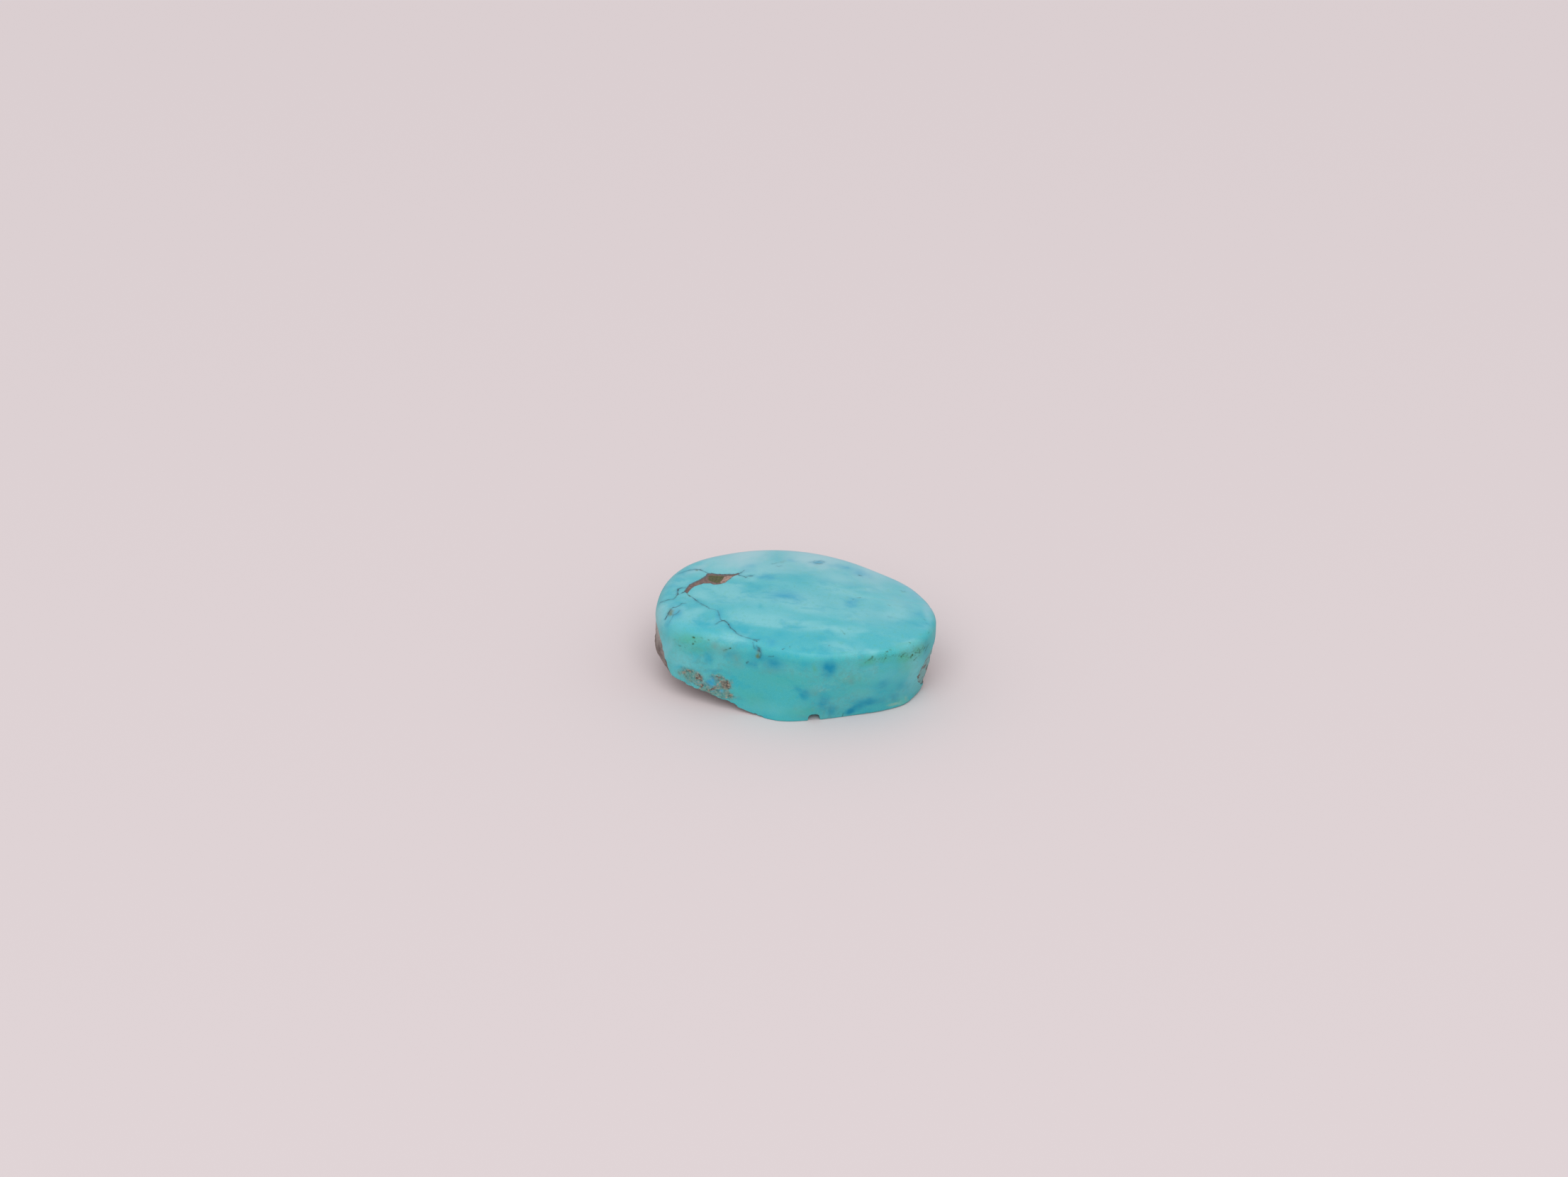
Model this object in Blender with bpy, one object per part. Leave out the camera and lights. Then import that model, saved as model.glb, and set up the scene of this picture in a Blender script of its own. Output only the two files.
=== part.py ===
"""Free-form turquoise nugget: polished dome and edge, rough host rock at one end and behind, sawn base.

Metres, +Z up. The stone rests on its sawn base at z = 0, with its long axis along X and the origin in the
middle of the box round its footprint. Angles round the stone start at +X, its blunt end, and turn towards +Y.
"""

from itertools import product
from math import atan2, cos, hypot, pi, radians, sin

import bmesh
import bpy
import numpy as np
from mathutils import Matrix, Vector

MM = 0.001

# ---- Driving dimensions ----------------------------------------------------------------------------------
# One value each 22.5 degrees round the stone.
RIM_RADIUS = MM * np.array([11.35, 10.00, 8.35, 7.85, 7.95, 8.60, 9.65, 10.80,
                            11.08, 10.90, 8.35, 7.00, 7.10, 7.85, 8.90, 10.80])
RIM_HEIGHT = MM * np.array([6.30, 6.40, 6.60, 6.75, 6.80, 6.80, 6.75, 6.60,
                            6.45, 6.40, 6.40, 6.45, 6.45, 6.45, 6.40, 6.35])
RIM_ROUNDING = MM * np.array([0.50, 0.60, 0.80, 1.00, 1.20, 1.40, 1.50, 1.50,
                              1.60, 1.80, 1.30, 0.90, 0.65, 0.55, 0.45, 0.45])
WALL_LEAN = MM * np.array([1.30, 1.20, 1.10, 1.00, 0.90, 0.80, 0.60, 0.30,
                           0.05, 0.00, -0.10, 0.00, 0.05, 0.90, 1.30, 1.60])
ROCK_HEIGHT = MM * np.array([2.9, 3.4, 2.6, 2.2, 3.0, 3.9, 4.4, 4.9,
                             5.3, 5.0, -6.0, -1.0, -1.0, -1.0, -1.0, -0.5])

DOME_HEIGHT = 7.3 * MM
DOME_POWER = 2.2            # how flat the dome stays before it falls to the rim
WALL_BOW = 1.9              # how low down the wall the lean sets in

UNDERSIDE_HINGE = Vector((-2.5, -0.4, 0.0)) * MM  # where the broken underside starts to rise
UNDERSIDE_RISE = radians(15.5)
UNDERSIDE_TURN = radians(10)
UNDERSIDE_LUMP = 0.22 * MM
UNDERSIDE_SIZE = Vector((24, 24, 8)) * MM
UNDERSIDE_CELLS = 22        # facets along each side of the broken underside
SAW_ALLOWANCE = 0.8 * MM    # stone below the base that the saw takes away

ROCK_SINK = 0.15 * MM       # host rock lies this much below the polished skin
ROCK_LUMP = 0.30 * MM
ROCK_LUMP_SPACING = 2.4 * MM
FINER_LUMPS = 2.3           # the lesser lumps are this many times closer, and half as high
ROCK_EDGE = 0.5 * MM        # width of the step from polished skin to host rock
ROCK_WANDER = 0.8 * MM      # how far the border between skin and host rock strays
ROCK_WANDER_SPACING = 1.7 * MM

NOTCH_RADIUS = 0.45 * MM
NOTCH_DEPTH = 2.6 * MM
NOTCH_ANGLE = radians(290)
NOTCH_MOUTH = Vector((2.60, -6.45, 0.08)) * MM

PIT_CENTRE = Vector((-6.55, 1.82, 7.06)) * MM
PIT_HALF_SIZE = Vector((1.10, 0.55, 0.28)) * MM
PIT_TURN = radians(-8)

PLAN_CENTRE = Vector((0.205, 0.395, 0.0)) * MM  # middle of the footprint box, in the outline's own axes

CORE = np.array([0.0, 0.0, 3.0]) * MM           # every point of the surface can be seen from here
GRID_LENGTH, GRID_WIDTH, GRID_HEIGHT = 44, 30, 13
BISECTIONS = 34
REACH = 16 * MM


# ---- Uneven nature ---------------------------------------------------------------------------------------
def corner_value(cell, seed):
    """A repeatable number from -1 to 1 for each whole-numbered corner of space."""
    mixed = cell @ np.array([374761393, 668265263, 974634777]) + seed * 69069
    mixed = (mixed ^ (mixed >> 13)) * 1274126177
    mixed = mixed ^ (mixed >> 16)
    return (mixed & 0xFFFF) / 32767.5 - 1


def smooth_noise(points, seed=0):
    """Gradient noise, about -1 to 1, whose features are about 1 apart."""
    cell = np.floor(points).astype(np.int64)
    inside = points - cell
    ease = inside**3 * (inside * (inside * 6 - 15) + 10)
    total = np.zeros(len(points))
    for corner in product((0, 1), repeat=3):
        at = np.array(corner)
        away = inside - at
        gradient = np.stack([corner_value(cell + at, 3 * seed + axis) for axis in range(3)], axis=1)
        weight = np.prod(np.where(at == 1, ease, 1 - ease), axis=1)
        total += weight * (gradient * away).sum(axis=1)
    return 1.6 * total


def broken_lumps(points):
    """Uneven height of broken stone, about -1 to 1."""
    broad = smooth_noise(points / ROCK_LUMP_SPACING, seed=1)
    fine = smooth_noise(points * (FINER_LUMPS / ROCK_LUMP_SPACING), seed=2)
    return broad + 0.5 * fine


# ---- The stone's form ------------------------------------------------------------------------------------
def round_the_stone(values, angle):
    """A smooth closed curve through values that are evenly spaced round the stone."""
    count = len(values)
    place = (angle % (2 * pi)) / (2 * pi) * count
    start = np.floor(place).astype(int)
    t = place - start
    before, here, after, beyond = (values[(start + k) % count] for k in (-1, 0, 1, 2))
    slope_in = (after - before) / 2
    slope_out = (beyond - here) / 2
    bend = 3 * (after - here) - 2 * slope_in - slope_out
    twist = 2 * (here - after) + slope_in + slope_out
    return here + slope_in * t + bend * t**2 + twist * t**3


def rounded_corner(a, b, radius):
    """Distance to the solid inside both a and b, with a round of the given radius where they meet."""
    over_a = np.maximum(a + radius, 0)
    over_b = np.maximum(b + radius, 0)
    return np.minimum(np.maximum(a, b), -radius) + np.hypot(over_a, over_b)


def wall_radius(angle, height):
    """Plan radius of the ground edge at a height, leaning in towards the base."""
    drop = np.clip(1 - height / round_the_stone(RIM_HEIGHT, angle), 0, 1.2)
    return round_the_stone(RIM_RADIUS, angle) - round_the_stone(WALL_LEAN, angle) * drop**WALL_BOW


def outside(points):
    """Negative inside the stone before it is sawn, zero on its skin."""
    x, y, z = points.T
    angle = np.arctan2(y, x)
    radius = np.hypot(x, y)
    rim = round_the_stone(RIM_HEIGHT, angle)
    fraction = np.clip(radius / round_the_stone(RIM_RADIUS, angle), 0, 1.3)
    dome = z - (DOME_HEIGHT - (DOME_HEIGHT - rim) * fraction**DOME_POWER)
    wall = radius - wall_radius(angle, z)
    crown = rounded_corner(wall, dome, round_the_stone(RIM_ROUNDING, angle))
    return np.maximum(crown, -SAW_ALLOWANCE - z)


def guide_point(a, b, c):
    """Where a point of a cube's surface belongs on the sharp-cornered stone."""
    across = a * (1 - b * b / 2) ** 0.5 * RIM_RADIUS[0]
    deep = b * (1 - a * a / 2) ** 0.5 * RIM_RADIUS[4]
    share = min(hypot(a * (1 - b * b / 2) ** 0.5, b * (1 - a * a / 2) ** 0.5), 1.0)
    angle = atan2(deep, across)
    rim = float(round_the_stone(RIM_HEIGHT, angle))
    height = -SAW_ALLOWANCE + (rim + SAW_ALLOWANCE) * (c + 1) / 2
    radius = share * float(wall_radius(angle, height))
    if c == 1:
        height = DOME_HEIGHT - (DOME_HEIGHT - rim) * share**DOME_POWER
    return radius * cos(angle), radius * sin(angle), height


def skin_points(guides):
    """Moves each guide point along its line from the core to the skin, by halving the distance left."""
    ways = np.array(guides) - CORE
    ways /= np.linalg.norm(ways, axis=1)[:, None]
    near = np.zeros(len(ways))
    far = np.full(len(ways), REACH)
    for _ in range(BISECTIONS):
        middle = (near + far) / 2
        within = outside(CORE + ways * middle[:, None]) < 0
        near = np.where(within, middle, near)
        far = np.where(within, far, middle)
    return CORE + ways * near[:, None]


def rock_share(points):
    """1 on host rock, 0 on polished turquoise."""
    x, y, z = points.T
    wander = ROCK_WANDER * smooth_noise(points / ROCK_WANDER_SPACING, seed=3)
    above = round_the_stone(ROCK_HEIGHT, np.arctan2(y, x)) + wander - z
    return np.clip(above / ROCK_EDGE, 0, 1)


def rock_relief(points):
    """Height of the broken host rock against the skin."""
    return rock_share(points) * (ROCK_LUMP * broken_lumps(points) - ROCK_SINK)


# ---- Objects ---------------------------------------------------------------------------------------------
def clear_scene():
    for old in list(bpy.data.objects):
        bpy.data.objects.remove(old, do_unlink=True)


def new_collection(name):
    group = bpy.data.collections.new(name)
    bpy.context.scene.collection.children.link(group)
    return group


def mesh_object(bm, name, group):
    mesh = bpy.data.meshes.new(name)
    bm.to_mesh(mesh)
    bm.free()
    piece = bpy.data.objects.new(name, mesh)
    group.objects.link(piece)
    return piece


def turquoise_material():
    material = bpy.data.materials.new("turquoise")
    material.use_nodes = True
    shader = material.node_tree.nodes["Principled BSDF"]
    shader.inputs["Base Color"].default_value = (0.12, 0.49, 0.55, 1.0)
    shader.inputs["Roughness"].default_value = 0.35
    shader.inputs["Metallic"].default_value = 0.0
    return material


def block_grid(*cells_along):
    """A cube of side 2 whose faces are grids, with so many cells along each axis."""
    bm = bmesh.new()
    bmesh.ops.create_cube(bm, size=2.0)
    for axis, cells in enumerate(cells_along):
        for step in range(1, cells):
            place = Vector((0.0, 0.0, 0.0))
            place[axis] = -1 + 2 * step / cells
            normal = Vector((0.0, 0.0, 0.0))
            normal[axis] = 1.0
            everything = bm.verts[:] + bm.edges[:] + bm.faces[:]
            bmesh.ops.bisect_plane(bm, geom=everything, plane_co=place, plane_no=normal)
    return bm


def stone_blank(group):
    """The stone as it is before the saw, the drill and the pit."""
    bm = block_grid(GRID_LENGTH, GRID_WIDTH, GRID_HEIGHT)
    guides = [guide_point(*(round(value, 6) for value in vert.co)) for vert in bm.verts]
    for vert, place in zip(bm.verts, skin_points(guides)):
        vert.co = Vector(place)
    bm.normal_update()
    normals = [vert.normal.copy() for vert in bm.verts]
    heights = rock_relief(np.array([vert.co for vert in bm.verts]))
    for vert, normal, height in zip(bm.verts, normals, heights):
        vert.co += normal * height - PLAN_CENTRE
    bmesh.ops.triangulate(bm, faces=bm.faces[:])
    return mesh_object(bm, "turquoise_nugget", group)


def saw_cutter(group):
    """A slab whose top is the plane of the sawn base."""
    size = 4 * REACH
    bm = bmesh.new()
    bmesh.ops.create_cube(bm, size=size)
    slab = mesh_object(bm, "saw_cut", group)
    slab.location.z = -size / 2
    return slab


def underside_cutter(group):
    """A slab with a lumpy top that rises to the left, where the underside is broken away from the base."""
    bm = block_grid(UNDERSIDE_CELLS, UNDERSIDE_CELLS, 1)
    bm.transform(Matrix.Diagonal((*(UNDERSIDE_SIZE / 2), 1.0)))
    bm.transform(Matrix.Translation(Vector((-UNDERSIDE_SIZE.x, 0.0, -UNDERSIDE_SIZE.z)) / 2))
    top = [vert for vert in bm.verts if vert.co.z > -UNDERSIDE_SIZE.z / 2]
    heights = broken_lumps(np.array([(vert.co.x, vert.co.y, 0.0) for vert in top]))
    for vert, height in zip(top, heights):
        vert.co.z = UNDERSIDE_LUMP * height
    slab = mesh_object(bm, "underside_cut", group)
    slab.rotation_euler = (0.0, UNDERSIDE_RISE, UNDERSIDE_TURN)
    slab.location = UNDERSIDE_HINGE - PLAN_CENTRE
    return slab


def notch_cutter(group):
    """A drill hole that the saw has halved, running in from the front wall."""
    bm = bmesh.new()
    bmesh.ops.create_cone(bm, cap_ends=True, segments=24, radius1=NOTCH_RADIUS, radius2=NOTCH_RADIUS,
                          depth=2 * NOTCH_DEPTH)
    drill = mesh_object(bm, "notch_cut", group)
    drill.rotation_euler = (0.0, pi / 2, NOTCH_ANGLE)
    drill.location = NOTCH_MOUTH - PLAN_CENTRE
    return drill


def pit_cutter(group):
    """The hollow where the vein widens on the dome."""
    bm = bmesh.new()
    bmesh.ops.create_uvsphere(bm, u_segments=20, v_segments=12, radius=1.0)
    bm.transform(Matrix.Diagonal((*PIT_HALF_SIZE, 1.0)))
    hollow = mesh_object(bm, "pit_cut", group)
    hollow.rotation_euler.z = PIT_TURN
    hollow.location = PIT_CENTRE - PLAN_CENTRE
    return hollow


def cut(stone, cutter):
    cutter.hide_render = True
    cutter.display_type = "WIRE"
    step = stone.modifiers.new(cutter.name, "BOOLEAN")
    step.operation = "DIFFERENCE"
    step.solver = "EXACT"
    step.object = cutter


def main():
    clear_scene()
    stones = new_collection("turquoise_nugget_stone")
    cutters = new_collection("cutters")
    stone = stone_blank(stones)
    stone.data.materials.append(turquoise_material())
    stone.data.shade_smooth()
    stone.data.set_sharp_from_angle(angle=radians(35))
    for make in (underside_cutter, saw_cutter, notch_cutter, pit_cutter):
        cut(stone, make(cutters))


main()
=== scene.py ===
"""Looks of the turquoise nugget: one finely shaped piece in place of the CAD solid, its markings and finish.

Metres, +Z up. The stone's form is worked out in the outline's own axes, as in the CAD source, and moved by
PLAN_CENTRE at the end. Markings are given by pixels of the 2212 x 1661 photograph and cast onto the form from
the camera's place, so they lie on the stone from every side. Angles start at +X and turn towards +Y.
"""

from collections import namedtuple
from itertools import product
from math import cos, pi, radians, sin

import bmesh
import bpy
import numpy as np
from mathutils import Euler, Matrix, Vector

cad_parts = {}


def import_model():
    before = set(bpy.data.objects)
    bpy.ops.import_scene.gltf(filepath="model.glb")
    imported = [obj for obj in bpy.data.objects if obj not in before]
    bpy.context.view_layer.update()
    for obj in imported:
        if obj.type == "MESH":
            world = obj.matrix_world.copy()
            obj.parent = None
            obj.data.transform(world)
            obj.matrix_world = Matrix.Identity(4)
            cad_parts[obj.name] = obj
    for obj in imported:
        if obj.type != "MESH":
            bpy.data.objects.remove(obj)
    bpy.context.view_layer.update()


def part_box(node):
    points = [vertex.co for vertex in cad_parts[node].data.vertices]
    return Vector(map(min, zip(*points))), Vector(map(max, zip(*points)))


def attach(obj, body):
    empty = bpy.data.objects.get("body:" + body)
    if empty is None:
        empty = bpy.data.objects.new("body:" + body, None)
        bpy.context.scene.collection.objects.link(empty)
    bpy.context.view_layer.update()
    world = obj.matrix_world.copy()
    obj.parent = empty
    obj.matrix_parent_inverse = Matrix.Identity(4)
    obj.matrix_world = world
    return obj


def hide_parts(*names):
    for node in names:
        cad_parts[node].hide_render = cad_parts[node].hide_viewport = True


MM = 0.001
NODE = "turquoise_nugget"

# ---- The stone's form, as in the CAD source but a little nearer to the photograph ------------------------
# One value each 22.5 degrees round the stone.
RIM_RADIUS = MM * np.array([11.20, 9.90, 8.35, 7.80, 7.95, 8.60, 9.58, 10.85,
                            11.02, 10.77, 8.35, 7.00, 7.10, 7.85, 8.90, 10.80])
RIM_HEIGHT = MM * np.array([6.30, 6.40, 6.60, 6.75, 6.80, 6.80, 6.75, 6.60,
                            6.45, 6.40, 6.40, 6.45, 6.45, 6.45, 6.40, 6.35])
RIM_ROUNDING = MM * np.array([0.50, 0.60, 0.80, 1.00, 1.20, 1.40, 1.40, 1.20,
                              1.00, 1.20, 1.10, 0.90, 0.65, 0.55, 0.45, 0.45])
RIM_INSET = MM * np.array([0.0, 0.0, 0.0, 0.0, 0.0, 0.0, 0.0, 0.0,
                           0.03, 0.16, 0.05, 0.0, 0.0, 0.0, 0.0, 0.0])
WALL_LEAN = MM * np.array([1.10, 1.05, 1.10, 1.00, 0.90, 0.80, 0.60, 0.30,
                           0.05, 0.00, -0.10, 0.00, 0.05, 0.90, 1.38, 1.60])
ROCK_HEIGHT = MM * np.array([4.2, 3.7, 2.6, 2.2, 3.0, 3.9, 4.4, 4.9,
                             5.2, 4.50, -7.0, -1.0, -1.0, -1.0, -1.0, -6.0])
INSET_FADE = 2.2             # how fast the wall comes back out below the left rim
DOME_HEIGHT = 7.3 * MM
DOME_POWER = 2.2
# The wall leans in with its drop below the rim to this power.
WALL_BOW = np.array([2.30, 2.20, 1.90, 1.90, 1.90, 1.90, 1.90, 1.90,
                     1.90, 1.90, 1.90, 1.90, 1.90, 1.90, 1.60, 1.50])
# The base has a blunt corner at the lower right.
CORNER_ANGLE = radians(-18)
CORNER_SPREAD = radians(6)
CORNER_HEIGHT = 0.55 * MM
CORNER_OUT = 0.24 * MM
UNDERSIDE_HINGE = np.array([-2.5, -0.4, 0.0]) * MM
UNDERSIDE_RISE = radians(15.5)
UNDERSIDE_TURN = radians(10)
UNDERSIDE_LUMP = 0.22 * MM
ROCK_SINK = 0.15 * MM
ROCK_LUMP = 0.30 * MM
ROCK_LUMP_SPACING = 2.4 * MM
FINER_LUMPS = 2.3
FINER_LUMPS_SHARE = 0.5
ROCK_EDGE = 0.5 * MM
ROCK_FREE = (0.0, 0.8 * MM)  # along -Y, the stretch over which the right end's host rock fades out
ROCK_WANDER = 0.60 * MM
ROCK_WANDER_SPACING = 2.4 * MM
ROCK_WANDER_STEPS = (1, 2.7, 6.5)
ROCK_WANDER_FALL = 0.8       # how fast the finer steps grow smaller
NOTCH_RADIUS = 0.45 * MM
NOTCH_DEPTH = 2.6 * MM
NOTCH_ANGLE = radians(290)
NOTCH_MOUTH = np.array([2.60, -6.45, 0.18]) * MM
PIT_CENTRE = np.array([-6.55, 1.82, 7.06]) * MM
PLAN_CENTRE = np.array([0.205, 0.395, 0.0]) * MM
CORE = np.array([0.0, 0.0, 3.0]) * MM
REACH = 16 * MM
LOWEST_DROP = 1.2            # below the rim, as a share of its height
WIDEST_SHARE = 1.3           # of the way from the dome's middle to the rim

# ---- Finer form than the CAD solid has -------------------------------------------------------------------
CELL = 0.165 * MM            # size of the mesh's cells where nothing is small
LINE_CELL = 0.030 * MM
BESIDE_LINE = 0.6            # how near a line its cells start, as a share of its halo
FINE_CELL = 0.042 * MM       # in the pit
BESIDE_PIT = 0.12 * MM
EDGE_CELL = 0.060 * MM       # along the base edge, in the notch, in the matrix patch
EDGE_REACH = 0.3 * MM
NOTCH_REACH = 0.25 * MM
ROCK_CELL = 0.095 * MM
ROCK_SEEN = 1.5 * MM         # further in than this the rock is out of sight underneath
# Strengths above which the host rock, the break and the matrix patch get smaller cells.
LEAST_ROCK, LEAST_BREAK, LEAST_MATRIX = 0.05, 0.01, 0.35
REFINEMENTS = 3
LONGEST_EDGE = 1.5           # an edge longer than this many cells is split
SAME_PLACE = 1e-5 * MM       # corners nearer than this are one
SLIVER = 1e-3 * MM           # triangles lower than this are taken out
BISECTIONS = 25
FOOT_ROUNDS = 12             # enough to find the foot of the leaning wall
CUBE_SEAM = 1e-5             # corners of the cube's faces nearer than this are one
ON_END = 1e-4                # how near an end of the cube a corner counts as lying on it
BASE_EDGE_ROUND = 0.09 * MM
RIGHT_EDGE_ROUND = 0.20 * MM     # where the base edge is worn at the right
LEFT_EDGE_ROUND = 0.68 * MM      # where the host rock has crumbled at the lower left
WORN_RIGHT = (4.5 * MM, 6.5 * MM)        # along +X
CRUMBLED_LEFT = (8.6 * MM, 9.8 * MM)     # along -X
CHIP_SIZE = 0.12 * MM
CHIP_SPACING = 0.42 * MM
CHIP_THRESHOLD = 0.28
NOTCH_LIP = 0.06 * MM
NOTCH_SQUARENESS = 2.6
CALM_ROCK = 0.25             # share of its lumps that the rock keeps at the front, where it is flatter
LIVELY_BEHIND = (-0.5 * MM, 1.5 * MM)    # along +Y
ROCK_GRAIN = 0.060 * MM
ROCK_GRAIN_SPACING = 0.80 * MM
RIDGE_SLOPE = 3
FINER_GRAIN_SHARE = 0.4
FRONT_GRAIN, BACK_GRAIN = 0.4, 0.9       # shares of the grain everywhere, and more where the rock is lively
VEIN_DEPTH = 0.030 * MM
PIT_DEPTH = 0.050 * MM
PIT_REACH = 1.15 * MM
PIT_FLATNESS = 4             # how flat its floor is, and how steeply it rises beyond
PIT_SIDE = 0.06 * MM
PIT_LIP = 0.2                # how far the side starts outside the pit's edge, as a share of its width
CRYSTAL_RISE = 0.055 * MM
CRYSTAL_SIDE = (-0.02 * MM, 0.05 * MM)
FACET_DEPTH = 0.06 * MM
FACET_SPACING = 0.35 * MM
MINERAL_DEPTH = 0.015 * MM
MINERAL_SPACING = 0.16 * MM
HAIRLINE_DEPTH = 0.016 * MM
GREEN_LINE_DEPTH = 0.6       # as a share of a dark hairline's
MATRIX_DEPTH = 0.05 * MM
HOLLOW_SPACING = 0.30 * MM
HOLLOW_LEVEL = 0.2           # the noise is hollow above minus this
HOLLOW_BAND = (0.25, 0.6)    # strengths of the matrix patch over which its hollows set in
BREAK_DEPTH = 0.13 * MM
BREAK_GRAIN = 0.6
BREAK_BAND = (-0.02 * MM, 0.10 * MM)
# The rough break at the right end: how far round it starts at some heights, and where it meets the rock.
BREAK_HEIGHTS = MM * np.array([0.0, 0.5, 1.0, 1.8, 2.5, 3.25, 3.8, 4.05, 4.5, 4.8])
BREAK_STARTS = np.radians([10, -2, -7.8, -12.4, -14.7, -13.4, -11.3, -9.3, -2, 10])
BREAK_RAGGED = 0.055 * MM
BREAK_RAGGED_SPACING = 0.5 * MM
BREAK_END = radians(14)

# ---- Camera ----------------------------------------------------------------------------------------------
PHOTO_WIDTH, PHOTO_HEIGHT = 2212, 1661
PIXELS_PER_METRE = 17900
CAMERA_AZIMUTH = radians(10)
CAMERA_ELEVATION = radians(32)
CAMERA_DISTANCE = 900 * MM
CAMERA_CLIP = (0.05, 10.0)
SENSOR_WIDTH = 36.0
ORIGIN_PIXEL = (1122, 951)   # where the outline's own origin falls in the photograph
SEARCH_STEP = 0.1 * MM       # along a pixel's ray

# ---- Markings, in pixels of the photograph ---------------------------------------------------------------
# A line darkens from its first strength to its last, which is left out where it is the same. Its half-width
# is in pixels too.
Line = namedtuple("Line", "first last half_width path")


def lines(*rows):
    """Lines from rows of one or two strengths, a half-width and a path."""
    return [Line(row[0], *row[-3:]) for row in rows]


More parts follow.
